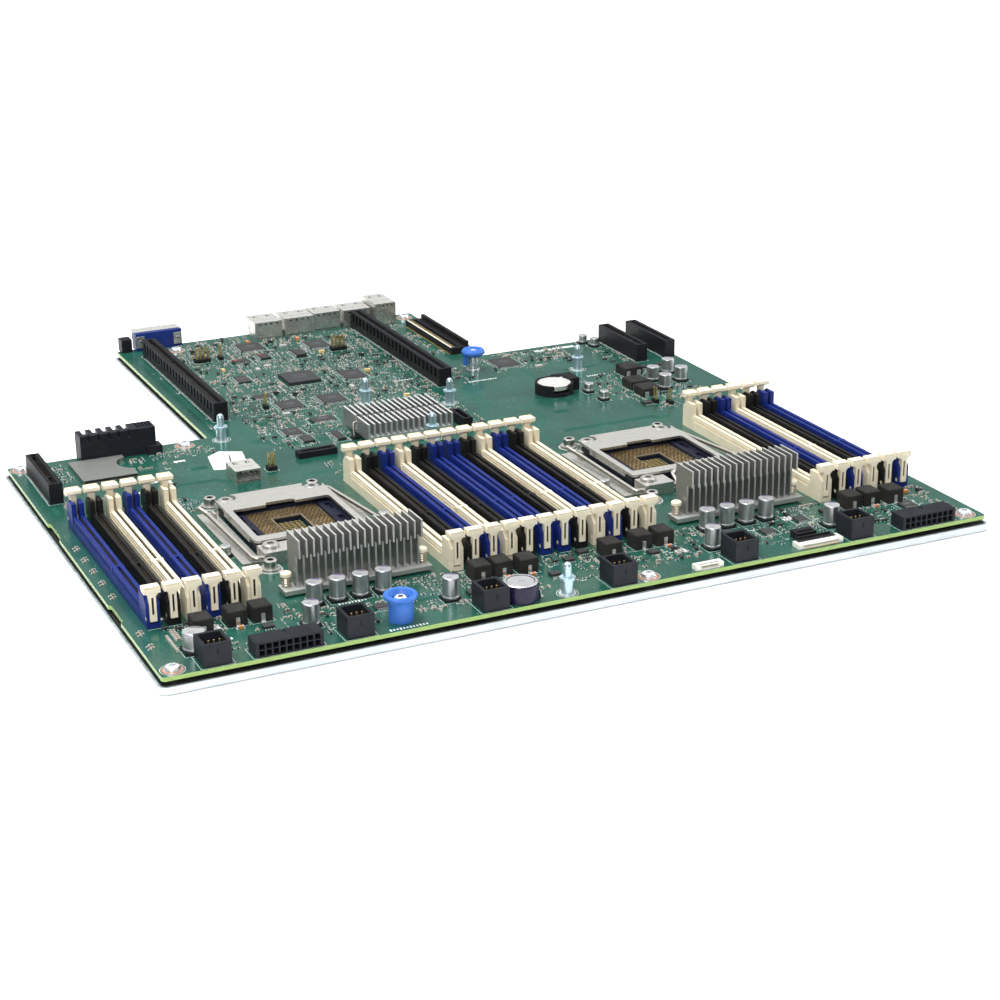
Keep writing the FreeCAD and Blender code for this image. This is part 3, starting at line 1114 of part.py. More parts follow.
def make_pin_headers():
    """Black plastic strips that hold the bare pin headers."""
    doc.recompute()
    bars = []
    for name in PIN_HEADERS:
        length = value(name + "_columns * pin_pitch")
        width = value("2 * pin_pitch")
        corner = vector("%s_x - %s_columns * pin_pitch / 2" % (name, name), name + "_y - pin_pitch",
                        BOARD_TOP)
        bar = Part.makeBox(length, width, 2.4, corner)
        bars.append(bar.makeChamfer(0.3, [edge for edge in bar.Edges if top_edge(bar, edge)]))
    collect("pin_header_strips", bars)


def block(name):
    """A plain rectangular body from the table of blocks."""
    return box(name + "_body", name + "_x", name + "_y", BOARD_TOP, name + "_length", name + "_width",
               name + "_height")


def make_power_block():
    """Tall rear supply connector: contact slots cut in its top and a lower tail at its right."""
    slots = []
    for index in range(5):
        slots.append(box("power_slot_%d" % index, "power_block_x + 4.0 + %d * power_slot_pitch" % index,
                         "power_block_y - 1",
                         BOARD_TOP + " + power_block_height - 4.2", "1.7", "8.0", "6"))
        slots.append(box("power_slot_rear_%d" % index,
                         "power_block_x + 2.8 + %d * power_slot_pitch" % index,
                         "power_block_y + 4.5", BOARD_TOP + " + power_block_height - 3.0", "3.0", "8.0",
                         "6"))
    for index in range(5):
        slots.append(box("signal_slot_%d" % index, "power_block_x + 33.0 + %d * 1.8" % index,
                         "power_block_y + 2.0", BOARD_TOP + " + power_block_height - 2.4", "0.9", "8.4",
                         "6"))
    whole = fuse("power_block_solid", block("power_block"), block("power_block_tail"))
    node("power_block_connector", cut("power_block_connector", whole, *slots))


def make_card_socket():
    """Thin metal card cage with a half-round finger cut-out on its right side."""
    finger = cylinder("finger_cut", "card_socket_x + 34", "card_socket_y + 19", BOARD_TOP,
                      "10.5", "card_socket_height + 2")
    mouth = box("card_mouth", "card_socket_x + 1", "card_socket_y - 1", BOARD_TOP + " + 0.5",
                "card_socket_length - 2", "28", "card_socket_height - 1.0")
    node("card_socket", cut("card_socket", block("card_socket"), finger, mouth))


def make_board_connectors():
    """Black board-to-board, tail and side connectors."""
    mezzanine = cut("mezzanine_connector", block("mezzanine"),
                    box("mezzanine_slot", "mezzanine_x + 2", "mezzanine_y + 2", BOARD_TOP + " + 1",
                        "mezzanine_length - 4", "mezzanine_width - 4", "8"))
    side = cut("side_socket", block("side_connector"),
               box("side_slot", "side_connector_x + 1.4", "side_connector_y + 1.6", BOARD_TOP + " + 2",
                   "3.0", "side_connector_width - 3.2", "8"))
    tail = cut("tail_socket", fuse("tail_solid", block("tail_connector"), block("tail_guide")),
               box("tail_slot", "tail_connector_x + 4.6", "tail_connector_y + 3", BOARD_TOP + " + 1.6",
                   "1.6", "tail_connector_width - 6", "8"))
    flat = cut("flat_socket_part", block("flat_socket"),
               box("flat_slot", "flat_socket_x + 1", "flat_socket_y + 1.6", BOARD_TOP + " + 1.6",
                   "flat_socket_length - 2", "1.6", "8"))
    corner = port_body("audio_block")
    doc.recompute()
    collect("board_connectors", [item.Shape.Solids[0] for item in (mezzanine, side, tail, flat, corner)])


def make_ribbon_connectors():
    """White and cream ribbon-cable connectors on the front edge."""
    pivot_y = "ribbon_flap_y + flap_pivot_setback"
    pivot_z = BOARD_TOP + " + flap_pivot_height"
    white = cut("white_ribbon_part", block("white_ribbon"),
                box("white_ribbon_slot", "white_ribbon_x + 2.6", "white_ribbon_y - 1", BOARD_TOP + " + 0.6",
                    "white_ribbon_length - 5.2", "4.6", "1.5"))
    wide = cut("wide_ribbon_part", block("wide_ribbon"),
               box("wide_ribbon_bed", "ribbon_flap_x - 0.4", "ribbon_flap_y - 0.5", BOARD_TOP + " + 0.4",
                   "ribbon_flap_length + 0.8", "8", "4"),
               box("wide_ribbon_mouth", "wide_ribbon_x + 2.4", "wide_ribbon_y - 1", BOARD_TOP + " + 0.8",
                   "wide_ribbon_length - 4.8", "3.6", "0.9"),
               cylinder("wide_ribbon_bores", "wide_ribbon_x + 0.6", pivot_y, pivot_z, "flap_pivot_bore",
                        "wide_ribbon_length - 1.2", ALONG_X))
    doc.recompute()
    collect("ribbon_connectors", [white.Shape.Solids[0], wide.Shape.Solids[0]])
    flap = box("ribbon_flap_body", "ribbon_flap_x", "ribbon_flap_y", BOARD_TOP + " + 0.6",
               "ribbon_flap_length",
               "ribbon_flap_width", "ribbon_flap_height")
    lip = box("ribbon_flap_lip", "ribbon_flap_x + 1", "ribbon_flap_y + ribbon_flap_width - 1.2",
              BOARD_TOP + " + 0.6 + ribbon_flap_height - 0.4", "ribbon_flap_length - 2", "1.2", "1.2")
    pivots = cylinder("ribbon_flap_pivots", "wide_ribbon_x + 0.8", pivot_y, pivot_z, "flap_pivot_radius",
                      "wide_ribbon_length - 1.6", ALONG_X)
    node("ribbon_latch", fuse("ribbon_latch", flap, lip, pivots))


# ---------------------------------------------------------------- rear panel and inner ports


def port_body(name, bottom=BOARD_TOP):
    return box(name + "_body", name + "_x", name + "_y", bottom, name + "_length",
               "panel_y - %s_y" % name, name + "_height")


def port_mouth(name, inset_x, low, high, depth, tag=""):
    """An opening in the rear face of a port."""
    return box(name + "_mouth" + tag, "%s_x + %s" % (name, inset_x), "panel_y - %s" % depth,
               BOARD_TOP + " + " + low,
               "%s_length - 2 * %s" % (name, inset_x), "%s + 5" % depth, "%s - %s" % (high, low))


def make_rear_ports():
    jacks = []
    for name in ("network_one", "network_two", "network_three"):
        step = port_mouth(name, "6.6", "8.4", "9.8", "12", "_tab")
        jacks.append(cut(name + "_jack", port_body(name), port_mouth(name, "4.2", "1.6", "8.4", "13"),
                         step))
    serial = cut("serial_shell", port_body("serial_port"), port_mouth("serial_port", "1.2", "1.2", "9.6",
                                                                      "12"))
    stack = cut("usb_stack_shell", port_body("usb_stack"), port_mouth("usb_stack", "0.9", "0.9", "7.0",
                                                                      "16"),
                port_mouth("usb_stack", "0.9", "8.2", "14.4", "16", "_top"))
    inner = cut("inner_usb_shell", block("inner_usb"),
                box("inner_usb_mouth", "inner_usb_x + 0.6", "inner_usb_y - 1", BOARD_TOP + " + 0.6",
                    "inner_usb_length - 1.2", "14", "inner_usb_height - 1.2"))
    doc.recompute()
    collect("network_jacks", [item.Shape.Solids[0] for item in jacks])
    collect("usb_ports", [item.Shape.Solids[0] for item in (serial, stack, inner)])


def make_video_connector():
    """Blue video socket with a projecting hood and a jack-screw nut on each side."""
    body = port_body("video_port")
    hood = box("video_hood", "video_port_x + 6.4", "panel_y - 0.5", BOARD_TOP + " + 2.2",
               "video_port_length - 12.8", "5.5", "7.4")
    mouth = box("video_mouth", "video_port_x + 7.2", "panel_y - 3", BOARD_TOP + " + 3.0",
                "video_port_length - 14.4", "10", "5.8")
    nuts = [cylinder("video_nut_%d" % i, x, "panel_y - 0.5", BOARD_TOP + " + 5.9", "2.4", "5.0", ALONG_Y)
            for i, x in enumerate(("video_port_x + 3.2", "video_port_x + video_port_length - 3.2"))]
    node("video_connector", cut("video_connector", fuse("video_solid", body, hood, *nuts), mouth))


# ---------------------------------------------------------------- handle, plunger and battery


def make_handle():
    """Flared blue pull handle, held by its own screw."""
    floor = "handle_height - handle_cup_depth"
    body = turned("pull_handle_turned", "handle_x", "handle_y", BOARD_TOP,
                  [("screw_radius + 0.3", "0"), ("handle_radius", "0"), ("handle_radius",
                                                                         "handle_height - 5.0"),
                   ("handle_radius + 0.5", "handle_height - 3.4"), ("handle_rim", "handle_height - 1.6"),
                   ("handle_rim", "handle_height - 0.6"), ("handle_rim - 0.6", "handle_height"),
                   ("handle_rim - 2.2", "handle_height - 0.2"), ("handle_bore", "handle_height - 2.4"),
                   ("handle_bore", floor), ("screw_radius + 0.3", floor)])
    node("pull_handle", body)
    screw = turned("handle_screw_turned", "handle_x", "handle_y", "0",
                   [("0", "0.4"), ("screw_radius", "0.4"), ("screw_radius", BOARD_TOP + " + " + floor),
                    ("handle_screw_head", BOARD_TOP + " + " + floor),
                    ("handle_screw_head", BOARD_TOP + " + %s + 1.6" % floor),
                    ("handle_screw_head - 0.7", BOARD_TOP + " + %s + 2.2" % floor),
                    ("0", BOARD_TOP + " + %s + 2.2" % floor)])
    socket = cylinder("handle_screw_socket", "handle_x", "handle_y", BOARD_TOP + " + %s + 1.0" % floor,
                      "1.1", "3")
    node("handle_screw", cut("handle_screw", screw, socket))


def make_plunger():
    """Spring plunger that locks the tray: fixed sleeve, sliding pin with a blue knob, and a spring."""
    sleeve = turned("plunger_sleeve_turned", "knob_x", "knob_y", BOARD_TOP,
                    [("sleeve_bore", "0"), ("sleeve_radius + 0.9", "0"), ("sleeve_radius + 0.9", "0.8"),
                     ("sleeve_radius", "0.8"), ("sleeve_radius", "sleeve_height"),
                     ("sleeve_bore", "sleeve_height"), ("sleeve_bore", "sleeve_height - sleeve_lip"),
                     ("sleeve_counterbore", "sleeve_height - sleeve_lip"),
                     ("sleeve_counterbore", "plunger_shoulder"), ("sleeve_bore", "plunger_shoulder")])
    node("plunger_sleeve", sleeve)
    knob = turned("plunger_knob_turned", "knob_x", "knob_y", BOARD_TOP,
                  [("plunger_radius", "knob_bottom"), ("knob_radius * 0.72", "knob_bottom"),
                   ("knob_radius", "knob_bottom + 1.6"), ("knob_radius", "knob_bottom + 3.0"),
                   ("knob_radius - 0.9", "knob_bottom + knob_height"),
                   ("knob_radius * 0.6", "knob_bottom + knob_height"),
                   ("knob_radius * 0.55", "knob_bottom + knob_height - 0.6"),
                   ("plunger_radius", "knob_bottom + knob_height - 0.6")])
    leg = box("plunger_leg", "knob_x - sleeve_radius - 1.0 - leg_width", "knob_y - 1.4",
              BOARD_TOP + " + knob_bottom - leg_length", "leg_width", "2.8", "leg_length + 0.6")
    node("plunger_knob", fuse("plunger_knob", knob, leg))
    pin = turned("plunger_pin_turned", "knob_x", "knob_y", BOARD_TOP,
                 [("0", "plunger_tip"), ("plunger_radius - 0.5", "plunger_tip"),
                  ("plunger_radius", "plunger_tip + 0.8"), ("plunger_radius", "plunger_shoulder + 0.05"),
                  ("plunger_collar_radius", "plunger_shoulder + 0.05"),
                  ("plunger_collar_radius", "plunger_shoulder + 0.05 + plunger_collar_height"),
                  ("plunger_radius", "plunger_shoulder + 0.05 + plunger_collar_height"),
                  ("plunger_radius", "knob_bottom + knob_height - 0.6"),
                  ("0", "knob_bottom + knob_height - 0.6")])
    node("plunger_pin", pin)
    base = value("plunger_shoulder + 0.05 + plunger_collar_height") + 0.05
    spring = coil(value("plunger_spring_radius"), value("plunger_spring_wire"),
                  value("sleeve_height - sleeve_lip") - base - 0.05, value("plunger_spring_turns"))
    spring.translate(FreeCAD.Vector(value("knob_x"), value("knob_y"), value(BOARD_TOP) + base))
    collect("plunger_spring", [spring])


def make_battery():
    cup = cylinder("holder_cup", "battery_x", "battery_y", BOARD_TOP, "holder_radius", "holder_height")
    block_body = box("holder_block", "battery_x + 3", "battery_y - 2", BOARD_TOP, "13", "13",
                     "holder_height + 0.8")
    seat = cylinder("holder_seat", "battery_x", "battery_y", BOARD_TOP + " + holder_floor",
                    "battery_radius + 0.15",
                    "holder_height")
    finger = box("holder_finger", "battery_x - 5", "battery_y - holder_radius - 1",
                 BOARD_TOP + " + holder_floor - 1",
                 "10", "6", "holder_height")
    node("battery_holder", cut("battery_holder", fuse("holder_solid", cup, block_body), seat, finger))
    cell = turned("coin_cell", "battery_x", "battery_y", BOARD_TOP + " + holder_floor",
                  [("0", "0"), ("battery_radius - 1.4", "0"), ("battery_radius - 1.0", "0.4"),
                   ("battery_radius", "0.5"), ("battery_radius", "battery_thickness - 0.2"),
                   ("battery_radius - 0.2", "battery_thickness"), ("0", "battery_thickness")])
    node("coin_cell", cell)


# ---------------------------------------------------------------- capacitors, inductors and chips


def can_pattern(name, radius, height):
    """A can capacitor on its moulded square foot, with a crimped neck and rounded top edge."""
    return turned(name, "0", "0", BOARD_TOP,
                  [("0", "can_base_height"), (radius + " - 0.1", "can_base_height"),
                   (radius, "can_base_height + 0.3"), (radius, "can_base_height + 1.0"),
                   (radius + " - 0.35", "can_base_height + 1.3"), (radius, "can_base_height + 1.7"),
                   (radius, height + " - 0.5"), (radius + " - 0.15", height + " - 0.15"),
                   (radius + " - 0.5", height), ("0", height)])


def foot_pattern(name, radius):
    """The moulded foot of a can: a square with two cut corners at the front."""
    half = "(%s + can_foot_margin)" % radius
    short = "(%s - can_foot_cut)" % half
    return slab(name, [("0 - " + short, "0 - " + half), (short, "0 - " + half), (half, "0 - " + short),
                       (half, half), ("0 - " + half, half), ("0 - " + half, "0 - " + short)],
                BOARD_TOP, "can_base_height")


def can_places():
    """Pattern key and place of every can on the board."""
    places = []
    for x, y in STATIONS:
        for index in range(4):
            places.append(("tall", "%s + can_row_first + %d * can_row_pitch" % (x, index),
                           y + " + can_row_y"))
        places.append(("tall", x + " + can_left_x", y + " + can_left_y"))
        places.append(("tall", x + " + can_right_x", y + " + can_right_y"))
        places.append(("small", x + " + can_side_x", y + " + can_side_y"))
    for index, (kind, x, y) in enumerate(LOOSE_CANS):
        places.append((kind, "loose_can_%d_x" % index, "loose_can_%d_y" % index))
    return places


def make_cans():
    sizes = {"tall": ("can_radius", "can_height"), "small": ("small_can_radius", "small_can_height"),
             "bulk": ("bulk_can_radius", "bulk_can_height"), "rear": ("rear_can_radius", "rear_can_height")}
    cans = {key: can_pattern("can_" + key, radius, height) for key, (radius, height) in sizes.items()}
    feet = {key: foot_pattern("foot_" + key, radius) for key, (radius, height) in sizes.items()}
    doc.recompute()
    for label, patterns in (("capacitor_cans", cans), ("capacitor_feet", feet)):
        solids = []
        for key, x, y in can_places():
            piece = patterns[key].Shape.Solids[0].copy()
            piece.translate(vector(x, y, "0"))
            solids.append(piece)
        collect(label, solids)
    backup = turned("backup_capacitor", "173.6", "9.4", BOARD_TOP,
                    [("0", "0"), ("backup_radius", "0"), ("backup_radius", "backup_height - 0.9"),
                     ("backup_radius - 0.3", "backup_height - 0.3"), ("backup_radius - 0.9",
                                                                      "backup_height"),
                     ("backup_radius - 1.8", "backup_height"), ("backup_radius - 2.0",
                                                                "backup_height - 0.4"),
                     ("0", "backup_height - 0.4")])
    node("backup_capacitor", backup)


def choke_places():
    """Low corners of the front chokes, in front of the memory banks."""
    places = [("25.4", "34.8"), ("42.0", "37.2"), ("53.8", "37.0")]
    places += [("162.6", "36.3"), ("173.6", "36.4"), ("186.0", "34.2")]
    places += [("231.0", "34.0"), ("249.2", "36.8"), ("261.2", "36.8")]
    places += [("371.4", "36.6"), ("382.8", "37.0"), ("395.6", "35.0")]
    return places


def make_chokes():
    """Moulded power inductors: square blocks with cut upper edges and a terminal recess."""
    front = box("choke_body", "0", "0", BOARD_TOP, "choke_length", "choke_width", "choke_height")
    recess = box("choke_recess", "choke_length / 2 - 1.2", "0 - 1", BOARD_TOP + " - 1", "2.4", "1.5",
                 "choke_height * 0.55 + 1")
    front_choke = cut("front_choke", front, recess)
    rear_choke = box("rear_choke", "0", "0", BOARD_TOP, "rear_choke_side", "rear_choke_side",
                     "rear_choke_height")
    doc.recompute()
    solids = []
    for pattern, places in ((front_choke, choke_places()),
                            (rear_choke, [("379.6", "288.4"), ("370.0", "262.4"), ("369.6", "247.0")])):
        for x, y in places:
            piece = pattern.Shape.Solids[0].copy()
            piece = piece.makeChamfer(0.5, [e for e in piece.Edges if top_edge(piece, e)])
            piece.translate(vector(x, y, "0"))
            solids.append(piece)
    collect("power_chokes", solids)


def top_edge(shape, edge):
    """True for an edge that lies in the top face and on the shape's outside."""
    high = shape.BoundBox.ZMax
    return all(abs(v.Point.z - high) < 1e-6 for v in edge.Vertexes)


def make_chips():
    """Moulded chip packages, with a chamfered top edge, and the power stages under the heat sinks."""
    doc.recompute()
    solids = []
    for name in CHIPS:
        length, width, height = (value(name + "_" + part) for part in ("length", "width", "height"))
        corner = vector("%s_x - %s_length / 2" % (name, name), "%s_y - %s_width / 2" % (name, name),
                        BOARD_TOP)
        solid = Part.makeBox(length, width, height, corner)
        solids.append(solid.makeChamfer(0.3, [e for e in solid.Edges if top_edge(solid, e)]))
    for x, y in STATIONS:
        for index in range(6):
            corner = vector("%s + stage_first + %d * stage_pitch" % (x, index), "%s + stage_y" % y,
                            BOARD_TOP)
            solids.append(Part.makeBox(value("stage_length"), value("stage_width"), value("sink_bottom"),
                                       corner))
    side = value("chipset_side")
    corner = vector("chipset_x - chipset_side / 2", "chipset_y - chipset_side / 2", BOARD_TOP)
    solids.append(Part.makeBox(side, side, value("chipset_height"), corner))
    collect("chip_packages", solids)


# ---------------------------------------------------------------- build, check and write


def build():
    make_tray()
    make_standoffs()
    make_film()
    make_board()
    make_board_screws()
    make_guide_pins()
    make_memory_sockets()
    make_memory_contacts()
    make_latches()
    make_socket_bodies()
    make_contact_fields()
    make_socket_frames()
    make_backplates()
    make_cooler_studs()
    make_frame_screws()
    make_load_plates()
    make_load_levers()
    make_regulator_sinks()
    make_push_pins()
    make_push_springs()
    make_chipset_sink()
    make_clip()
    make_riser_slots()
    make_short_slots()
    make_fan_headers()
    make_power_connectors()
    make_header_pins()
    make_pin_headers()
    make_power_block()
    make_card_socket()
    make_board_connectors()
    make_ribbon_connectors()
    make_rear_ports()
    make_video_connector()
    make_handle()
    make_plunger()
    make_battery()
    make_cans()
    make_chokes()
    make_chips()
    doc.recompute()


def check():
    for item in doc.Objects:
        if "Invalid" in item.State or "Error" in item.State:
            raise RuntimeError("%s failed: %s" % (item.Name, item.State))
    for item in NODES:
        if item.Shape.isNull() or not item.Shape.isValid() or not item.Shape.Solids:
            raise RuntimeError("%s has no sound shape" % item.Label)


def write():
    os.makedirs("parts", exist_ok=True)
    for item in NODES:
        item.Shape.exportStep(os.path.join("parts", item.Label + ".step"))
        print("%-28s %3d solids %10.1f mm3" % (item.Label, len(item.Shape.Solids), item.Shape.Volume))
    print(len(NODES), "nodes")


build()
check()
write()
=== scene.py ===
import itertools
import math
import random

import bpy
from mathutils import Matrix, Vector


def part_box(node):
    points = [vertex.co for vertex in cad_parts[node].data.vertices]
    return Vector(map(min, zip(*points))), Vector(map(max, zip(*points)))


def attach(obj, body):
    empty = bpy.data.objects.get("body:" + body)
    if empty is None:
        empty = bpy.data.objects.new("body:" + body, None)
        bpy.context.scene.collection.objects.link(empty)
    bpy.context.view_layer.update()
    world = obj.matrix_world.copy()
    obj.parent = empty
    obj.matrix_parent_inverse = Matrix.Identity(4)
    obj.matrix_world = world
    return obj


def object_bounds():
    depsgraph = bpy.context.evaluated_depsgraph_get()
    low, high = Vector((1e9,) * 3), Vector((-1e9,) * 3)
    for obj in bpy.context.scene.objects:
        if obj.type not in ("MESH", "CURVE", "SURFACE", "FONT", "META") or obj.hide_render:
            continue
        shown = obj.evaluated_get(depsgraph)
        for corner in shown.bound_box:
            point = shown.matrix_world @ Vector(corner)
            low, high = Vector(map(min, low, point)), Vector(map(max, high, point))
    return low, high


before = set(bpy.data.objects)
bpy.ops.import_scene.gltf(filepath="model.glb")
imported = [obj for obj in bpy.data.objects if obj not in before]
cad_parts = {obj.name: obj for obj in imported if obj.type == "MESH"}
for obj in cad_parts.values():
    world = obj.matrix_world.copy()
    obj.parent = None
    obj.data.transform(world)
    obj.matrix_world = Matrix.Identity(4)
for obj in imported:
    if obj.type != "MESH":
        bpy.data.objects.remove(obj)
cad_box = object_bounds()

# Server motherboard on its tray. Lengths in this script are millimetres in the CAD frame;
# MM turns them into Blender metres when a mesh is made.
MM = 0.001
BODY = "board"
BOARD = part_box("circuit_board")
TOP = BOARD[1][2] / MM
CHANCE = random.Random(11)

# ---------------------------------------------------------------- mesh building


class Pile:
    """Collects many small closed shapes into one mesh with several materials."""

    def __init__(self, name, materials):
        self.name = name
        self.materials = materials
        self.points = []
        self.faces = []
        self.slots = []

    def add(self, points, faces, slot=0):
        start = len(self.points)
        self.points.extend(points)
        self.faces.extend([start + i for i in face] for face in faces)
        self.slots.extend([slot] * len(faces))

    def sweep(self, rings, slot=0, closed=False):
        """A skin from ring to ring of points; both ends get a face unless the last ring joins the first."""
        count = len(rings[0])
        points = [point for ring in rings for point in ring]
        faces = []
        for level in range(len(rings) if closed else len(rings) - 1):
            a, b = level * count, (level + 1) % len(rings) * count
            for i in range(count):
                j = (i + 1) % count
                faces.append([a + i, a + j, b + j, b + i])
        if not closed:
            faces.append(list(range(count))[::-1])
            faces.append(list(range(len(points) - count, len(points))))
        self.add(points, faces, slot)

    def prism(self, outline, low, high, slot=0, inset=0.0):
        """A closed prism over an outline of (x, y), its top edge pulled in by inset for a chamfer."""
        middle_x = sum(x for x, y in outline) / len(outline)
        middle_y = sum(y for x, y in outline) / len(outline)
        reach = max(math.hypot(x - middle_x, y - middle_y) for x, y in outline)
        keep = 1 - inset / reach * 1.2
        rings = [[(x, y, low) for x, y in outline]]
        if inset:
            rings.append([(x, y, high - inset) for x, y in outline])
        rings.append([(middle_x + (x - middle_x) * keep, middle_y + (y - middle_y) * keep, high)
                      for x, y in outline])
        self.sweep(rings, slot)

    def block(self, x, y, low, length, width, height, slot=0, turn=0.0, inset=0.0):
        """A box about (x, y), standing on low, turned about Z by degrees."""
        cos, sin = math.cos(math.radians(turn)), math.sin(math.radians(turn))
        corners = []
        for dx, dy in ((-1, -1), (1, -1), (1, 1), (-1, 1)):
            across, along = dx * length / 2, dy * width / 2
            corners.append((x + across * cos - along * sin, y + across * sin + along * cos))
        self.prism(corners, low, low + height, slot, inset)

    def disc(self, x, y, low, radius, height, slot=0, steps=28, inset=0.0):
        outline = [(x + radius * math.cos(2 * math.pi * i / steps),
                    y + radius * math.sin(2 * math.pi * i / steps))
                   for i in range(steps)]
        self.prism(outline, low, low + height, slot, inset)

    def ring(self, x, y, low, inner, outer, height, slot=0, steps=40):
        rings = []
        for i in range(steps):
            angle = 2 * math.pi * i / steps
            rings.append([(x + radius * math.cos(angle), y + radius * math.sin(angle), z) for radius, z in (
                (inner, low), (inner, low + height), (outer, low + height), (outer, low))])
        self.sweep(rings, slot, closed=True)

    def disc_y(self, x, y, z, radius, depth, slot=0, steps=20):
        """A short cylinder whose axis runs along Y."""
        turns = [2 * math.pi * i / steps for i in range(steps)]
        self.sweep([[(x + radius * math.cos(turn), along, z - radius * math.sin(turn)) for turn in turns]
                    for along in (y, y + depth)], slot)

    def strip(self, path, width, low, height):
        """A flat strip of constant width that follows a path of (x, y) with mitred corners."""
        sides = zip(offset_path(path, width / 2), offset_path(path, -width / 2))
        self.sweep([[(rx, ry, low), (lx, ly, low), (lx, ly, low + height), (rx, ry, low + height)]
                    for (lx, ly), (rx, ry) in sides])

    def finish(self, body=BODY):
        mesh = bpy.data.meshes.new(self.name)
        mesh.from_pydata([(x * MM, y * MM, z * MM) for x, y, z in self.points], [], self.faces)
        for material in self.materials:
            mesh.materials.append(material)
        mesh.polygons.foreach_set("material_index", self.slots)
        mesh.update()
        piece = bpy.data.objects.new(self.name, mesh)
        bpy.context.scene.collection.objects.link(piece)
        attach(piece, body)


def offset_path(path, shift):
    """The path moved sideways by shift, its corners mitred."""
    moved = []
    for i, (x, y) in enumerate(path):
        before = path[max(i - 1, 0)]
        after = path[min(i + 1, len(path) - 1)]
        first = Vector((x - before[0], y - before[1]))
        second = Vector((after[0] - x, after[1] - y))
        first = first.normalized() if first.length else second.normalized()
        second = second.normalized() if second.length else first
        normal = Vector((-first.y - second.y, first.x + second.x)).normalized()
        stretch = 1 / max(0.4, normal @ Vector((-first.y, first.x)))
        moved.append((x + normal.x * shift * stretch, y + normal.y * shift * stretch))
    return moved


def islands(node):
    """(low corner, high corner) in millimetres of every separate solid in a CAD node, from left to right."""
    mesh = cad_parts[node].data
    parent = {}

    def find(key):
        while parent[key] != key:
            parent[key] = parent[parent[key]]
            key = parent[key]
        return key

    keys = [tuple(round(c * 1e6) for c in v.co) for v in mesh.vertices]
    for key in keys:
        parent.setdefault(key, key)
    for polygon in mesh.polygons:
        corners = [find(keys[i]) for i in polygon.vertices]
        for corner in corners[1:]:
            parent[find(corner)] = find(corners[0])
    boxes = {}
    for key in parent:
        low, high = boxes.setdefault(find(key), ([10 ** 9] * 3, [-10 ** 9] * 3))
        for axis in range(3):
            low[axis] = min(low[axis], key[axis])
            high[axis] = max(high[axis], key[axis])
    found = [([c / 1000 for c in low], [c / 1000 for c in high]) for low, high in boxes.values()]
    return sorted(found, key=lambda b: (round(b[0][0], 1), b[0][1]))


def box_mm(node):
    """(low corner, high corner) of a whole CAD node, in millimetres."""
    return tuple([c / MM for c in corner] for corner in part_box(node))


def middle(low, high):
    return (low[0] + high[0]) / 2, (low[1] + high[1]) / 2


# ---------------------------------------------------------------- materials


class Shade:
    """Short-hand for wiring one material's nodes."""

    def __init__(self, name):
        self.material = bpy.data.materials.new(name)
        self.material.use_nodes = True
        self.tree = self.material.node_tree
        self.shader = self.tree.nodes["Principled BSDF"]
        self.place = self.tree.nodes.new("ShaderNodeTexCoord").outputs["Object"]

    def node(self, kind, **inputs):
        made = self.tree.nodes.new(kind)
        for key, given in inputs.items():
            socket = made.inputs[key.replace("_", " ")]
            self.feed(socket, given)
        return made

    def feed(self, socket, given):
        if hasattr(given, "links"):
            self.tree.links.new(given, socket)
        else:
            socket.default_value = given

    def put(self, name, given):
        self.feed(self.shader.inputs[name], given)

    def stretch(self, x, y, z):
        return self.node("ShaderNodeMapping", Vector=self.place, Scale=(x, y, z)).outputs[0]

    def noise(self, size, detail=3.0, rough=0.5, place=None):
        """Noise whose features are about size millimetres."""
        return self.node("ShaderNodeTexNoise", Vector=place or self.place, Scale=1 / (size * MM),
                         Detail=detail, Roughness=rough).outputs["Fac"]

    def ramp(self, factor, *stops):
        """Colour ramp; each stop is (position, colour)."""
        made = self.node("ShaderNodeValToRGB", Fac=factor)
        elements = made.color_ramp.elements
        while len(elements) < len(stops):
            elements.new(0.5)
        for element, (position, colour) in zip(elements, stops):
            element.position = position
            element.color = (*colour, 1)
        return made.outputs[0]

    def mix(self, factor, first, second):
        made = self.tree.nodes.new("ShaderNodeMix")
        made.data_type = "RGBA"
        self.feed(made.inputs[0], factor)
        for index, given in ((6, first), (7, second)):
            self.feed(made.inputs[index], given if hasattr(given, "links") else (*given, 1))
        return made.outputs[2]

    def maths(self, operation, first, second=0.5):
        made = self.tree.nodes.new("ShaderNodeMath")
        made.operation = operation
        self.feed(made.inputs[0], first)
        self.feed(made.inputs[1], second)
        return made.outputs[0]

    def range(self, factor, low, high, start=0.3, end=0.7):
        """Maps start to end onto low to high."""
        return self.node("ShaderNodeMapRange", Value=factor, From_Min=start, From_Max=end, To_Min=low,
                         To_Max=high).outputs[0]

    def facing_up(self):
        normal = self.tree.nodes.new("ShaderNodeNewGeometry").outputs["True Normal"]
        return self.maths("GREATER_THAN", self.node("ShaderNodeSeparateXYZ", Vector=normal).outputs[2], 0.7)

    def facing_sideways(self):
        normal = self.tree.nodes.new("ShaderNodeNewGeometry").outputs["True Normal"]
        along_x = self.node("ShaderNodeSeparateXYZ", Vector=normal).outputs[0]
        return self.maths("GREATER_THAN", self.maths("ABSOLUTE", along_x), 0.7)

    def bump(self, height, depth, edge=0.0):
        """Bump of a depth in millimetres, over softened edges when edge is given."""
        made = self.node("ShaderNodeBump", Height=height, Distance=depth * MM, Strength=1.0)
        if edge:
            soft = self.tree.nodes.new("ShaderNodeBevel")
            soft.samples = 4
            soft.inputs["Radius"].default_value = edge * MM
            self.tree.links.new(soft.outputs[0], made.inputs["Normal"])
        self.put("Normal", made.outputs[0])


# share of a metal's mirror look that its upward faces lose, so that they read pale: painted light on the
# tops of every metal
PAINTED_TOP_LIGHT = 0.9
MASK_DARK = (0.008, 0.066, 0.046)
MASK_LIGHT = (0.018, 0.104, 0.074)
VIA = (0.12, 0.24, 0.18)
LIME = (0.34, 0.50, 0.12)
LIME_DARK = (0.20, 0.33, 0.07)


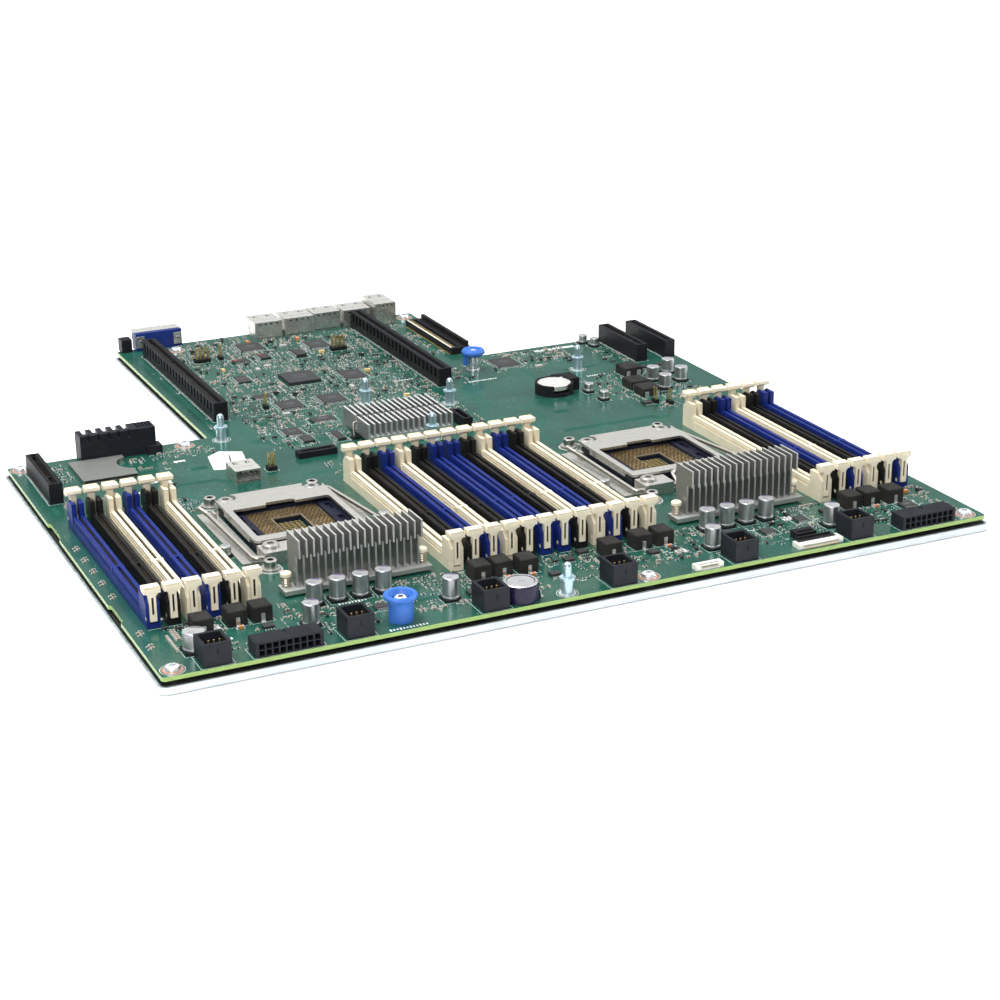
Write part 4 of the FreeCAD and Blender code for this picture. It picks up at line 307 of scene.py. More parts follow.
def plastic(name, colour, rough=0.42, grain=0.02, edge=0.12, change=0.12, shine=0.3):
    """Moulded plastic: fine spark-eroded grain, faint flow marks, soft edges."""
    shade = Shade(name)
    dark = tuple(c * (1 - change) for c in colour)
    light = tuple(min(1, c * (1 + change) + 0.004) for c in colour)
    shade.put("Base Color", shade.ramp(shade.noise(7.0, 4), (0.3, dark), (0.7, light)))
    shade.put("Roughness", shade.range(shade.noise(1.5, 3), rough - 0.07, rough + 0.07))
    shade.put("Specular IOR Level", shine)
    shade.bump(shade.noise(0.18, 2), grain, edge)
    return shade.material


def metal(name, colour, rough=0.3, streak=None, smudge=0.1, edge=0.08, depth=0.006, change=0.1,
          mirror=0.55, painted_side_shade=1.0):
    """Metal with smudges, and streaks stretched along an axis when streak gives its three scales."""
    shade = Shade(name)
    place = shade.stretch(*streak) if streak else shade.place
    lines = shade.noise(0.5, 4, 0.6, place)
    dark = tuple(c * (1 - change) for c in colour)
    light = tuple(min(1, c * (1 + change)) for c in colour)
    tone = shade.ramp(lines, (0.3, dark), (0.7, light))
    # painted shade: faces turned along X get the metal's colour darkened by this factor
    if painted_side_shade < 1:
        tone = shade.mix(shade.facing_sideways(), tone, tuple(c * painted_side_shade for c in colour))
    shade.put("Base Color", tone)
    # painted light: upward faces lose part of their metallic look and read paler than the sides
    lit_top = shade.maths("MULTIPLY", shade.facing_up(), mirror * PAINTED_TOP_LIGHT)
    shade.put("Metallic", shade.maths("SUBTRACT", min(1.0, mirror * 1.5), lit_top))
    shade.put("Roughness", shade.range(shade.noise(5.0, 4), rough - smudge, rough + smudge))
    shade.bump(lines, depth, edge)
    return shade.material


def solder_mask():
    """Glossy green mask over copper pours and glass weave, and bare lime laminate at the board's edge."""
    shade = Shade("solder_mask")
    pours = shade.node("ShaderNodeTexVoronoi", Vector=shade.place, Scale=42.0)
    pours.distance = "CHEBYCHEV"
    pour = shade.node("ShaderNodeSeparateXYZ", Vector=pours.outputs["Color"]).outputs[0]
    weave = shade.node("ShaderNodeTexChecker", Vector=shade.place, Scale=1400.0).outputs["Fac"]
    base = shade.ramp(pour, (0.2, MASK_DARK), (0.8, MASK_LIGHT))
    cloud = shade.ramp(shade.noise(38.0, 3), (0.35, MASK_DARK), (0.65, MASK_LIGHT))
    green = shade.mix(0.6, base, cloud)
    vias = shade.node("ShaderNodeTexVoronoi", Vector=shade.place, Scale=330.0, Randomness=0.8)
    hole = shade.maths("LESS_THAN", vias.outputs["Distance"], 0.13)
    where = shade.maths("GREATER_THAN", shade.noise(16.0, 2), 0.52)
    green = shade.mix(shade.maths("MULTIPLY", hole, where), green, VIA)
    layers = shade.node("ShaderNodeTexNoise", Vector=shade.stretch(200, 200, 9000),
                        Scale=1.0).outputs["Fac"]
    edge = shade.ramp(layers, (0.35, LIME_DARK), (0.65, LIME))
    shade.put("Base Color", shade.mix(shade.facing_up(), edge, green))
    shade.put("Roughness", shade.range(shade.noise(12.0, 3), 0.17, 0.3))
    shade.put("Specular IOR Level", 0.6)
    shade.put("Coat Weight", 0.25)
    shade.put("Coat Roughness", 0.12)
    shade.bump(shade.maths("ADD", weave, shade.maths("MULTIPLY", shade.noise(1.2, 3), 2.0)), 0.004)
    return shade.material


def printed(name, colour, rough=0.5):
    """A thin printed or plated layer with small breaks in its tone; also the near-black sheets of painted
    shade.
    """
    shade = Shade(name)
    dark = tuple(c * 0.8 for c in colour)
    shade.put("Base Color", shade.ramp(shade.noise(0.6, 2), (0.3, dark), (0.7, colour)))
    shade.put("Roughness", shade.range(shade.noise(2.0, 2), rough - 0.08, rough + 0.08))
    shade.bump(shade.noise(0.2, 2), 0.004)
    return shade.material


def zinc_sheet():
    """Galvanised sheet with its crystal spangle and faint rolling lines, its walls and edges painted paler
    than its floor as painted light.
    """
    shade = Shade("zinc_sheet")
    spangle = shade.node("ShaderNodeTexVoronoi", Vector=shade.place, Scale=260.0)
    tone = shade.node("ShaderNodeSeparateXYZ", Vector=spangle.outputs["Color"]).outputs[0]
    flat = shade.ramp(tone, (0.1, (0.47, 0.52, 0.56)), (0.9, (0.54, 0.60, 0.64)))
    rolled = shade.noise(0.5, 2, 0.5, shade.stretch(0.05, 0.05, 1.6))
    # painted light: faces that do not face up get a paler copy of the sheet's colour
    rim = shade.ramp(rolled, (0.35, (0.58, 0.64, 0.67)), (0.65, (0.74, 0.79, 0.81)))
    shade.put("Base Color", shade.mix(shade.facing_up(), rim, flat))
    shade.put("Metallic", 0.6)
    shade.put("Roughness", shade.range(tone, 0.3, 0.46))
    shade.bump(shade.noise(0.4, 3, 0.6, shade.stretch(1, 14, 14)), 0.008, 0.25)
    return shade.material


def can_metal():
    """Drawn aluminium can: fine vertical drawing marks and a soft sheen."""
    return metal("can_aluminium", (0.47, 0.48, 0.485), 0.32, (3, 3, 0.2), 0.05, 0.15, 0.004, 0.06, 0.62)


def sleeve_print():
    """Dark purple shrink sleeve with rows of pale print bars and a bright top disc."""
    shade = Shade("sleeve_purple")
    turned = shade.node("ShaderNodeMapping", Vector=shade.place, Rotation=(math.pi / 2, 0, 0)).outputs[0]
    rows = shade.node("ShaderNodeTexBrick", Vector=turned, Scale=1.0, Color1=(0.34, 0.34, 0.44, 1),
                      Color2=(0.022, 0.013, 0.055, 1), Mortar=(0.020, 0.012, 0.050, 1),
                      Brick_Width=1.1 * MM, Row_Height=2.2 * MM, Mortar_Size=0.42 * MM)
    side = shade.mix(0.07, (0.010, 0.007, 0.032), rows.outputs["Color"])
    shade.put("Base Color", shade.mix(shade.facing_up(), side, (0.75, 0.75, 0.78)))
    shade.put("Metallic", shade.maths("MULTIPLY", shade.facing_up(), 0.8))
    shade.put("Roughness", shade.range(shade.noise(2.0, 3), 0.22, 0.36))
    shade.put("Specular IOR Level", 0.3)
    shade.put("Coat Weight", 0.1)
    shade.bump(shade.noise(0.6, 3), 0.004, 0.3)
    return shade.material


def chip_resin():
    """Moulded chip body: matte charcoal with a faint laser-etched haze on top."""
    shade = Shade("chip_resin")
    haze = shade.noise(0.35, 4, 0.7)
    top = shade.ramp(haze, (0.4, (0.026, 0.027, 0.028)), (0.75, (0.052, 0.052, 0.053)))
    side = shade.ramp(haze, (0.3, (0.014, 0.014, 0.015)), (0.7, (0.024, 0.024, 0.025)))
    shade.put("Base Color", shade.mix(shade.facing_up(), side, top))
    shade.put("Roughness", shade.range(shade.noise(1.0, 3), 0.42, 0.6))
    shade.bump(shade.noise(0.12, 2), 0.012, 0.1)
    return shade.material


def paint_nodes(looks):
    """Give each CAD node, named in a string of names, its material."""
    for material, nodes in looks:
        for node in nodes.split():
            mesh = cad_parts[node].data
            mesh.materials.clear()
            mesh.materials.append(material)


ZINC = zinc_sheet()
FILM = plastic("black_film", (0.012, 0.012, 0.013), 0.5, 0.01, 0.0)
MASK = solder_mask()
BRIGHT = metal("plated_steel", (0.74, 0.76, 0.78), 0.22, (1, 1, 6), 0.07)
PIN_ZINC = metal("blue_zinc", (0.46, 0.60, 0.66), 0.3, (4, 4, 0.5), 0.05, 0.08, 0.004, 0.1, 0.5)
BLUE = plastic("socket_blue", (0.009, 0.023, 0.168), 0.36, 0.012, 0.14, 0.12, 0.19)
BLACK = plastic("socket_black", (0.010, 0.0095, 0.009), 0.38, 0.012, 0.14, 0.12, 0.16)
IVORY = plastic("socket_ivory", (0.80, 0.72, 0.54), 0.38, 0.012, 0.14, 0.06)
LATCH = plastic("latch_cream", (0.86, 0.78, 0.60), 0.36, 0.012, 0.22, 0.06)
GOLD = metal("gold_plate", (0.62, 0.44, 0.17), 0.3, None, 0.08, 0.0)
DULL_GOLD = metal("contact_gold", (0.23, 0.185, 0.125), 0.42, None, 0.1, 0.0, 0.004, 0.25)
NAVY = plastic("socket_navy", (0.010, 0.012, 0.026), 0.42, 0.015, 0.12, 0.12, 0.2)
NICKEL = metal("nickel_steel", (0.50, 0.49, 0.455), 0.28, (1, 0.25, 1), 0.05, 0.25, 0.003, 0.07, 0.58)
ROD = metal("nickel_rod", (0.44, 0.42, 0.38), 0.2, (1, 0.3, 1), 0.05, 0.0, 0.003, 0.08, 0.9)
SCREW = metal("screw_steel", (0.42, 0.41, 0.39), 0.3, (2, 2, 2), 0.08, 0.1, 0.006, 0.12, 0.8)
SPRING = metal("spring_wire", (0.52, 0.46, 0.38), 0.3, None, 0.08, 0.0)
# painted shade on both heat sinks: their fin faces turned along X are drawn darker
SINK = metal("sink_aluminium", (0.52, 0.525, 0.50), 0.42, (8, 8, 0.3), 0.07, 0.12, 0.008, 0.12, 0.5, 0.58)
SINK_SMALL = metal("sink_aluminium_bright", (0.66, 0.67, 0.66), 0.38, (0.4, 8, 8), 0.07, 0.1, 0.01, 0.1,
                   0.5, 0.5)
CONNECTOR = plastic("connector_black", (0.010, 0.0105, 0.012), 0.44, 0.02, 0.16, 0.12, 0.16)
SLATE = plastic("connector_slate", (0.013, 0.015, 0.020), 0.46, 0.02, 0.16, 0.12, 0.18)
WHITE = plastic("connector_white", (0.80, 0.78, 0.70), 0.4, 0.012, 0.1, 0.05)
TIN = metal("tin_shell", (0.60, 0.595, 0.56), 0.28, (1, 0.2, 1), 0.04, 0.15, 0.003, 0.06, 0.58)
CAGE = metal("cage_steel", (0.235, 0.24, 0.225), 0.36, (9, 0.4, 9), 0.05, 0.15, 0.006, 0.14, 0.55)
VIDEO_BLUE = plastic("video_blue", (0.008, 0.026, 0.17), 0.36, 0.012, 0.2, 0.12, 0.25)
HANDLE_BLUE = plastic("handle_blue", (0.045, 0.160, 0.54), 0.36, 0.02, 0.3, 0.05)
CELL = metal("cell_steel", (0.72, 0.71, 0.68), 0.3, (1, 9, 1), 0.06, 0.2, 0.006, 0.08, 0.45)
CAN = can_metal()
SLEEVE = sleeve_print()
CHOKE = plastic("choke_powder", (0.024, 0.0235, 0.022), 0.62, 0.05, 0.25, 0.25, 0.15)
RESIN = chip_resin()

# parts that only this scene adds
TRACE = printed("covered_copper", (0.024, 0.128, 0.094), 0.34)
SILK = printed("silkscreen", (0.74, 0.80, 0.76), 0.55)
SOLDER = metal("solder", (0.68, 0.69, 0.68), 0.3, None, 0.1, 0.0, 0.01)
COPPER = printed("bare_copper", (0.52, 0.20, 0.12), 0.35)
CERAMIC = printed("ceramic_tan", (0.36, 0.26, 0.18), 0.4)
RESISTOR = printed("resistor_black", (0.020, 0.020, 0.022), 0.4)
TANTALUM = printed("tantalum_orange", (0.62, 0.23, 0.07), 0.42)
AMBER = printed("tantalum_amber", (0.74, 0.55, 0.20), 0.42)
PURPLE = printed("mark_purple", (0.12, 0.07, 0.20), 0.4)
# dark grey for print marks, and as painted shade in the scored vent lines of the large capacitor
DARK_MARK_AND_SHADE = printed("mark_and_groove_shade_grey", (0.13, 0.12, 0.13), 0.4)
PAPER = printed("label_paper", (0.84, 0.84, 0.82), 0.6)
# painted shade: near-black thin sheets laid in openings, slots, recesses and gaps where only shade falls
SHADOW = printed("painted_opening_shade", (0.010, 0.010, 0.011), 0.6)
RED = printed("paint_red", (0.55, 0.05, 0.05), 0.5)

paint_nodes([
    (ZINC, "tray socket_backplates"), (FILM, "insulator_sheet"), (MASK, "circuit_board"),
    (BRIGHT, "tray_standoffs board_screws handle_screw plunger_sleeve plunger_pin"),
    (PIN_ZINC, "guide_pins"),
    (BLUE, "memory_sockets_blue"), (BLACK, "memory_sockets_black"), (IVORY, "memory_sockets_white"),
    (LATCH, "memory_latches_front_left memory_latches_front_centre memory_latches_front_right"),
    (LATCH, "memory_latches_rear_left memory_latches_rear_centre memory_latches_rear_right push_pins"),
    (DULL_GOLD, "memory_contacts processor_contacts"), (GOLD, "contact_pins"), (NAVY, "processor_sockets"),
    (NICKEL, "socket_frames load_plate_left load_plate_right"), (SCREW, "cooler_studs frame_screws"),
    (ROD, "load_lever_front_left load_lever_rear_left load_lever_front_right load_lever_rear_right"),
    (ROD, "heat_sink_clip"), (SINK, "regulator_heat_sinks"), (SINK_SMALL, "chipset_heat_sink"),
    (SPRING, "push_pin_springs plunger_spring"),
    (SLATE, "fan_headers power_connectors power_block_connector"),
    (CONNECTOR, "riser_slots short_card_slots pin_header_strips board_connectors ribbon_latch"),
    (CONNECTOR, "battery_holder capacitor_feet"), (WHITE, "ribbon_connectors"), (CAGE, "card_socket"),
    (TIN, "network_jacks usb_ports"), (VIDEO_BLUE, "video_connector"), (CELL, "coin_cell"),
    (HANDLE_BLUE, "pull_handle plunger_knob"), (CAN, "capacitor_cans"), (SLEEVE, "backup_capacitor"),
    (CHOKE, "power_chokes"), (RESIN, "chip_packages"),
])

# ---------------------------------------------------------------- free room on the board

CELL_SIZE = 0.5
taken = set()


def cells(x0, y0, x1, y1):
    for i in range(int(x0 // CELL_SIZE), int(x1 // CELL_SIZE) + 1):
        for j in range(int(y0 // CELL_SIZE), int(y1 // CELL_SIZE) + 1):
            yield i, j


def take(x0, y0, x1, y1):
    taken.update(cells(x0, y0, x1, y1))


def is_free(x0, y0, x1, y1):
    return not any(cell in taken for cell in cells(x0, y0, x1, y1))


STANDING = {node: islands(node) for node in """
    memory_sockets_blue memory_sockets_black memory_sockets_white riser_slots short_card_slots fan_headers
    power_connectors pin_header_strips power_block_connector card_socket board_connectors ribbon_connectors
    network_jacks usb_ports video_connector pull_handle plunger_sleeve battery_holder capacitor_feet
    backup_capacitor power_chokes chip_packages socket_frames cooler_studs guide_pins board_screws
    regulator_heat_sinks processor_sockets""".split()}

MARGIN = {"board_screws": 2.2, "chip_packages": 1.3, "capacitor_feet": 0.7, "socket_frames": 0.8}


def fill_room():
    for node, boxes in STANDING.items():
        grow = MARGIN.get(node, 0.6)
        for low, high in boxes:
            take(low[0] - grow, low[1] - grow, high[0] + grow, high[1] + grow)


fill_room()
CHIPS = [box for box in STANDING["chip_packages"] if box[0][2] > TOP - 0.1]
CHIPSET = max(CHIPS, key=lambda box: box[1][0] - box[0][0])


def under_a_sink(low, high):
    return any(s_low[0] < low[0] and high[0] < s_high[0] and s_low[1] < low[1] and high[1] < s_high[1]
               for s_low, s_high in STANDING["regulator_heat_sinks"])


OPEN_CHIPS = [box for box in CHIPS if box is not CHIPSET and not under_a_sink(*box)]

# ---------------------------------------------------------------- small surface parts

# areas of the board that carry loose groups of small parts: x, y from and to, number of groups
FIELDS = [
    (137, 322, 267, 466, 1500), (140, 262, 190, 320, 200), (190, 281, 262, 322, 200),
    (279, 380, 302, 460, 70), (12, 12, 154, 52, 330), (154, 14, 282, 52, 300), (282, 12, 424, 52, 330),
    (74, 50, 152, 56, 30), (14, 205, 100, 282, 26), (158, 203, 270, 226, 60), (140, 245, 262, 262, 30),
    (366, 218, 412, 302, 190), (312, 330, 372, 366, 130), (66, 182, 80, 205, 30), (243, 238, 268, 300, 60),
    (350, 235, 368, 300, 40), (120, 300, 137, 470, 14), (283, 50, 360, 56, 30), (384, 318, 400, 366, 30),
    (280, 318, 300, 372, 14), (18, 256, 30, 284, 60), (60, 268, 112, 281, 60), (128, 455, 198, 482, 120),
    (264, 455, 300, 466, 40),
]

parts = Pile("small_surface_parts", [SOLDER, CERAMIC, RESISTOR, TANTALUM, AMBER, RESIN, SILK])
SOLDER_SLOT, CERAMIC_SLOT, RESISTOR_SLOT, TANTALUM_SLOT, AMBER_SLOT, RESIN_SLOT, MARK_SLOT = range(7)


def places_on(x, y, turn):
    """Returns at(along, across), which places a point of a part turned by degrees about (x, y)."""
    cos, sin = math.cos(math.radians(turn)), math.sin(math.radians(turn))

    def at(along, across=0.0):
        return x + along * cos - across * sin, y + along * sin + across * cos

    return at


def chip_part(x, y, length, width, height, turn, slot):
    """A two-ended part: body, two metal end caps and their solder fillets."""
    at = places_on(x, y, turn)
    cap = length * 0.22
    reach = (length - cap) / 2
    parts.block(x, y, TOP + 0.05, length - 2 * cap, width * 0.94, height * 0.94, slot, turn, 0.04)
    for side in (-1, 1):
        parts.block(*at(side * reach), TOP, cap, width, height, SOLDER_SLOT, turn, 0.05)
        parts.block(*at(side * (reach + cap * 0.8)), TOP, cap * 0.9, width * 1.05, height * 0.35,
                    SOLDER_SLOT, turn, 0.08)


def resistor(x, y, length, width, height, turn):
    chip_part(x, y, length, width, height * 0.7, turn, RESISTOR_SLOT)


def ceramic(x, y, length, width, height, turn):
    chip_part(x, y, length, width, height, turn, CERAMIC_SLOT)


def resistor_array(x, y, length, width, height, turn):
    """Four resistors in one black body, with a row of terminals along each long side."""
    at = places_on(x, y, turn)
    parts.block(x, y, TOP + 0.05, length, width * 0.7, height, RESISTOR_SLOT, turn, 0.08)
    for i in range(4):
        for side in (-1, 1):
            parts.block(*at((i - 1.5) * length * 0.24, side * width * 0.42), TOP, length * 0.14,
                        width * 0.3, height * 0.8, SOLDER_SLOT, turn, 0.04)


def three_leg(x, y, length, width, height, turn):
    """A small transistor with one leg on one side and two on the other."""
    at = places_on(x, y, turn)
    parts.block(x, y, TOP + 0.12, length, width * 0.6, height, RESIN_SLOT, turn, 0.1)
    for along, side in ((0.0, 1), (-0.34, -1), (0.34, -1)):
        parts.block(*at(along * length, side * width * 0.42), TOP, length * 0.16, width * 0.4, 0.28,
                    SOLDER_SLOT, turn)


def moulded_diode(x, y, length, width, height, turn, slot):
    """A moulded tantalum or diode with a polarity bar."""
    at = places_on(x, y, turn)
    parts.block(x, y, TOP + 0.08, length, width, height, slot, turn, 0.12)
    parts.block(*at(length * 0.34), TOP + 0.07 + height, length * 0.12, width * 0.8, 0.02, MARK_SLOT, turn)
    for side in (-1, 1):
        parts.block(*at(side * length * 0.5), TOP, length * 0.2, width * 0.6, 0.6, SOLDER_SLOT, turn)


# share of all groups, maker, then length, width and height of the part
KINDS = [
    (0.26, ceramic, 1.6, 0.85, 0.8), (0.26, resistor, 1.6, 0.85, 0.6),
    (0.10, ceramic, 2.1, 1.3, 1.1), (0.14, resistor, 1.05, 0.55, 0.4),
    (0.14, three_leg, 2.9, 2.4, 1.0), (0.02, moulded_diode, 3.4, 2.0, 1.6),
    (0.08, resistor_array, 3.2, 1.6, 0.7),
]
marks = Pile("silkscreen_marks", [SILK])
SKIN = 0.03


def pick_kind():
    level = CHANCE.random()
    for share, *kind in KINDS:
        level -= share
        if level < 0:
            return kind
    return KINDS[0][1:]


def scatter(x0, y0, x1, y1, groups):
    """Short aligned rows of one kind of part, wherever the board is free."""
    for _ in range(groups):
        make, length, width, height = pick_kind()
        turn = CHANCE.choice((0, 90))
        along = CHANCE.choice((0, 90))
        big = length > 2.5
        count = 1 if big else CHANCE.choice((1, 2, 2, 3, 4, 6))
        gap = (length if along == turn else width) + CHANCE.choice((0.5, 0.7, 0.9))
        x, y = CHANCE.uniform(x0, x1), CHANCE.uniform(y0, y1)
        if CHANCE.random() < 0.16:
            mark_dashes(x, y - 1.6)
        for i in range(count):
            px = x + i * gap * (along == 0)
            py = y + i * gap * (along == 90)
            half_x = (length if turn == 0 else width) / 2 + 0.25
            half_y = (width if turn == 0 else length) / 2 + 0.25
            if px > x1 or py > y1 or not is_free(px - half_x, py - half_y, px + half_x, py + half_y):
                continue
            take(px - half_x, py - half_y, px + half_x, py + half_y)
            if make is moulded_diode:
                slot = CHANCE.choice((TANTALUM_SLOT, AMBER_SLOT, RESIN_SLOT, RESIN_SLOT))
                moulded_diode(px, py, length, width, height, turn, slot)
            else:
                make(px, py, length, width, height, turn)


def mark_dashes(x, y):
    """A short row of plain print dashes, in place of a reference number."""
    for i in range(CHANCE.choice((2, 3, 4))):
        px = x + i * 0.8
        if is_free(px - 0.3, y - 0.4, px + 0.3, y + 0.4):
            marks.block(px, y, TOP, 0.45, 0.75, SKIN)


def scatter_all():
    """Every field of loose parts, and a zigzag of capacitors along the left edge."""
    for field in FIELDS:
        scatter(*field)
    front = BOARD[0][1] / MM
    for y in (30, 46, 92, 110, 126, 142, 158):
        for i in range(4):
            chip_part(3.6 + 1.5 * (i % 2), front + y + 1.6 * i, 1.6, 0.85, 0.6, 0, CERAMIC_SLOT)


def output_capacitors():
    """Orange capacitors in front of the front inductors."""
    for low, high in STANDING["power_chokes"]:
        if low[1] > 100:
            continue
        x, y = (low[0] + high[0]) / 2, low[1] - 3.2
        if is_free(x - 1.8, y - 1.2, x + 1.8, y + 1.2):
            take(x - 1.8, y - 1.2, x + 1.8, y + 1.2)
            chip_part(x, y, 3.2, 1.9, 1.5, 0, TANTALUM_SLOT)


# ---------------------------------------------------------------- chips: legs, dots and pads

LEG_PITCH = 0.8
legs = Pile("chip_legs", [SOLDER])
dimples = Pile("chip_corner_dots", [RESISTOR])
etch = Pile("chip_etched_bars", [printed("etched_grey", (0.17, 0.17, 0.175), 0.5)])


def leg(x, y, out_x, out_y, rise):
    """A gull-wing leg: shoulder at the body, down, and a flat foot outwards."""
    width = 0.34
    length = 0.62
    turn = 0 if out_x else 90
    legs.block(x + out_x * 0.2, y + out_y * 0.2, TOP + rise - 0.08, 0.5, width, 0.16, 0, turn)
    legs.block(x + out_x * 0.45, y + out_y * 0.45, TOP + 0.05, 0.16, width, rise, 0, turn)
    legs.block(x + out_x * (0.45 + length / 2), y + out_y * (0.45 + length / 2), TOP, length, width, 0.14,
               0, turn)


def leg_places(centre, length):
    """Where the legs stand along a side of a chip."""
    last = int((length - 1.4) / LEG_PITCH)
    return [centre + (i - last / 2) * LEG_PITCH for i in range(last + 1)]


def dress_chip(low, high):
    """Legs on all four sides of a square chip, on two sides of a long one, and none on a ball-grid one."""
    length, width = high[0] - low[0], high[1] - low[1]
    x_mid, y_mid = middle(low, high)
    rise = (high[2] - TOP) * 0.5
    ball_grid = length > 18
    square = max(length, width) / min(length, width) < 1.35 and max(length, width) > 9
    if not ball_grid and (square or length >= width):
        for x in leg_places(x_mid, length):
            leg(x, low[1], 0, -1, rise)
            leg(x, high[1], 0, 1, rise)
    if not ball_grid and (square or width > length):
        for y in leg_places(y_mid, width):
            leg(low[0], y, -1, 0, rise)
            leg(high[0], y, 1, 0, rise)
    outline_print(low[0] - 2.0, low[1] - 2.0, high[0] + 2.0, high[1] + 2.0, 0.2)
    marks.disc(low[0] - 1.6, high[1] + 1.6, TOP, 0.45, SKIN, 0, 14)
    dimples.disc(low[0] + 1.4, high[1] - 1.4, high[2] - 0.01, 0.5, 0.02, 0, 20)
    if length > 7 and width > 6:
        for shift, share in ((0.1, 0.5), (-0.08, 0.38)):
            etch.block(x_mid, y_mid + width * shift, high[2], length * share, 0.5, 0.008)


def outline_print(x0, y0, x1, y1, width):
    """A printed rectangle outline."""
    for x, y, length, depth in (((x0 + x1) / 2, y0, x1 - x0, width), ((x0 + x1) / 2, y1, x1 - x0, width),
                                (x0, (y0 + y1) / 2, width, y1 - y0), (x1, (y0 + y1) / 2, width, y1 - y0)):
        marks.block(x, y, TOP, length, depth, SKIN)


def dress_chips():
    """Legs and prints for every chip in the open, and a dab of red paint on some near the rear."""
    for low, high in OPEN_CHIPS:
        dress_chip(low, high)
    red = Pile("chip_red_paint", [RED])
    for low, high in [box for box in OPEN_CHIPS if abs(middle(*box)[1] - 426.5) < 2.5 and box[0][0] < 200]:
        red.block(low[0] + 1.6, high[1] - 1.8, high[2], 2.4, 1.3, 0.02, 0, 0, 0.005)
    red.finish()
    legs.finish()
    dimples.finish()
    etch.finish()


# ---------------------------------------------------------------- covered copper tracks

tracks = Pile("covered_tracks", [TRACE])
# each group of tracks is a hair thicker than the last, so that crossing ones never share a surface
group_heights = (0.02 + 0.002 * i for i in itertools.count())


def bus(path, count, pitch=0.5, width=0.22):
    """Parallel tracks that follow one path."""
    height = next(group_heights)
    for i in range(count):
        tracks.strip(offset_path(path, (i - (count - 1) / 2) * pitch), width, TOP, height)


def serpentine(x, y, length, turns, pitch=0.6):
    """A track lengthened by folding it back and forth."""
    path = []
    for i in range(turns):
        ends = ((x, y + i * pitch), (x + length, y + i * pitch))
        path += ends if i % 2 == 0 else ends[::-1]
    tracks.strip(path, 0.2, TOP, next(group_heights))


# number of tracks side by side and the path of their middle
BUSES = [
    (16, [(250, 212), (268, 230), (268, 262), (280, 274), (280, 312)]),
    (10, [(285, 300), (285, 372), (293, 380)]), (12, [(272, 210), (300, 238), (300, 262), (312, 274)]),
    (8, [(138, 318), (152, 332), (152, 360), (162, 370), (186, 370)]), (12, [(212, 366), (224, 366)]),
    (8, [(243, 250), (256, 250), (264, 258), (264, 300), (272, 308), (272, 318)]),
    (14, [(191, 262), (150, 262), (136, 276), (136, 312)]), (8, [(330, 300), (330, 332)]),
    (10, [(262, 470), (262, 400), (246, 384), (246, 352), (222, 328)]),
    (6, [(120, 300), (122, 302), (122, 470)]), (10, [(300, 214), (360, 214), (372, 226), (372, 300)]),
    (6, [(352, 318), (376, 318), (392, 334), (392, 362)]), (6, [(8, 210), (8, 222)]),
    (8, [(16, 205), (40, 205), (60, 225), (96, 225), (104, 217)]), (6, [(66, 56), (66, 30), (80, 16)]),
    (8, [(156, 56), (156, 34), (150, 28), (130, 28)]), (8, [(364, 56), (364, 30), (352, 18), (330, 18)]),
    (8, [(205, 30), (225, 30), (232, 23), (280, 23)]), (4, [(5, 60), (5, 40), (9, 36), (9, 24)]),
]
# the same three buses leave each processor
STATION_PITCH = 208
STATION_BUSES = [
    (10, [(109.6, 196), (109.6, 206), (118, 214), (118, 232)]),
    (8, [(78, 196), (78, 222), (92, 236), (92, 262)]),
    (12, [(136, 190), (136, 201), (146, 211), (160, 211)]),
]
SERPENTINES = [(250, 322), (286, 330), (146, 300), (310, 244), (402, 218), (180, 18), (90, 244)]


def draw_tracks():
    for shift in (0, STATION_PITCH):
        for count, path in STATION_BUSES:
            bus([(x + shift, y) for x, y in path], count)
    for count, path in BUSES:
        bus(path, count)
    for x, y in SERPENTINES:
        serpentine(x, y, 9, 9)


# ---------------------------------------------------------------- printed outlines, rings and labels


def print_outlines():
    """Printed outlines round connectors and parts, end bars at the sockets, rows of plain dashes."""
    for node, grow in (("fan_headers", 1.4), ("power_connectors", 1.2), ("capacitor_feet", 0.7),
                       ("pin_header_strips", 0.8), ("riser_slots", 1.1), ("short_card_slots", 0.9),
                       ("power_chokes", 0.9)):
        for low, high in STANDING[node]:
            outline_print(low[0] - grow, max(0.5, low[1] - grow), high[0] + grow, high[1] + grow, 0.18)
    for colour in ("blue", "black", "white"):
        for low, high in STANDING["memory_sockets_" + colour]:
            x = (low[0] + high[0]) / 2
            marks.block(x, low[1] - 1.5, TOP, 6.4, 0.25, SKIN)
            marks.block(x, high[1] + 1.5, TOP, 6.4, 0.25, SKIN)
    for low, high in STANDING["guide_pins"]:
        x, y = middle(low, high)
        marks.ring(x, y, TOP, 5.0, 5.3, SKIN)
    marks.block(368.0, 362.2, TOP, 28.0, 3.4, SKIN)
    for x, y in ((20, 224), (64.5, 236), (88, 262), (20, 60), (16, 92)):
        marks.block(x, y, TOP, 6.5, 2.6, SKIN)
    for x, y, count in ((30, 26, 7), (96, 40, 9), (290, 322, 12), (286, 352, 6), (250, 344, 8),
                        (384, 304, 10), (360, 300, 8), (236, 8, 5), (106, 2.4, 12)):
        for i in range(count):
            marks.block(x + 1.6 * i, y, TOP, 0.9, 1.5 if i % 3 else 2.2, SKIN)


def copper_rings():
    """Bare copper landing, solder collar and printed circle round each board screw."""
    rings = Pile("screw_landings", [COPPER, SOLDER, SILK])
    for low, high in STANDING["board_screws"]:
        x, y = middle(low, high)
        rings.ring(x, y, TOP, 2.0, 4.9, 0.04)
        rings.ring(x, y, TOP, 3.75, 4.05, 0.1, 1)
        rings.ring(x, y, TOP, 5.4, 5.65, SKIN, 2, 48)
    for low, high in STANDING["cooler_studs"]:
        x, y = middle(low, high)
        rings.ring(x, y, TOP, 5.02, 5.9, 0.03, 1)
    for low, high in STANDING["guide_pins"]:
        x, y = middle(low, high)
        rings.ring(x, y, TOP, 2.95, 4.2, 0.08, 1)
    rings.finish()


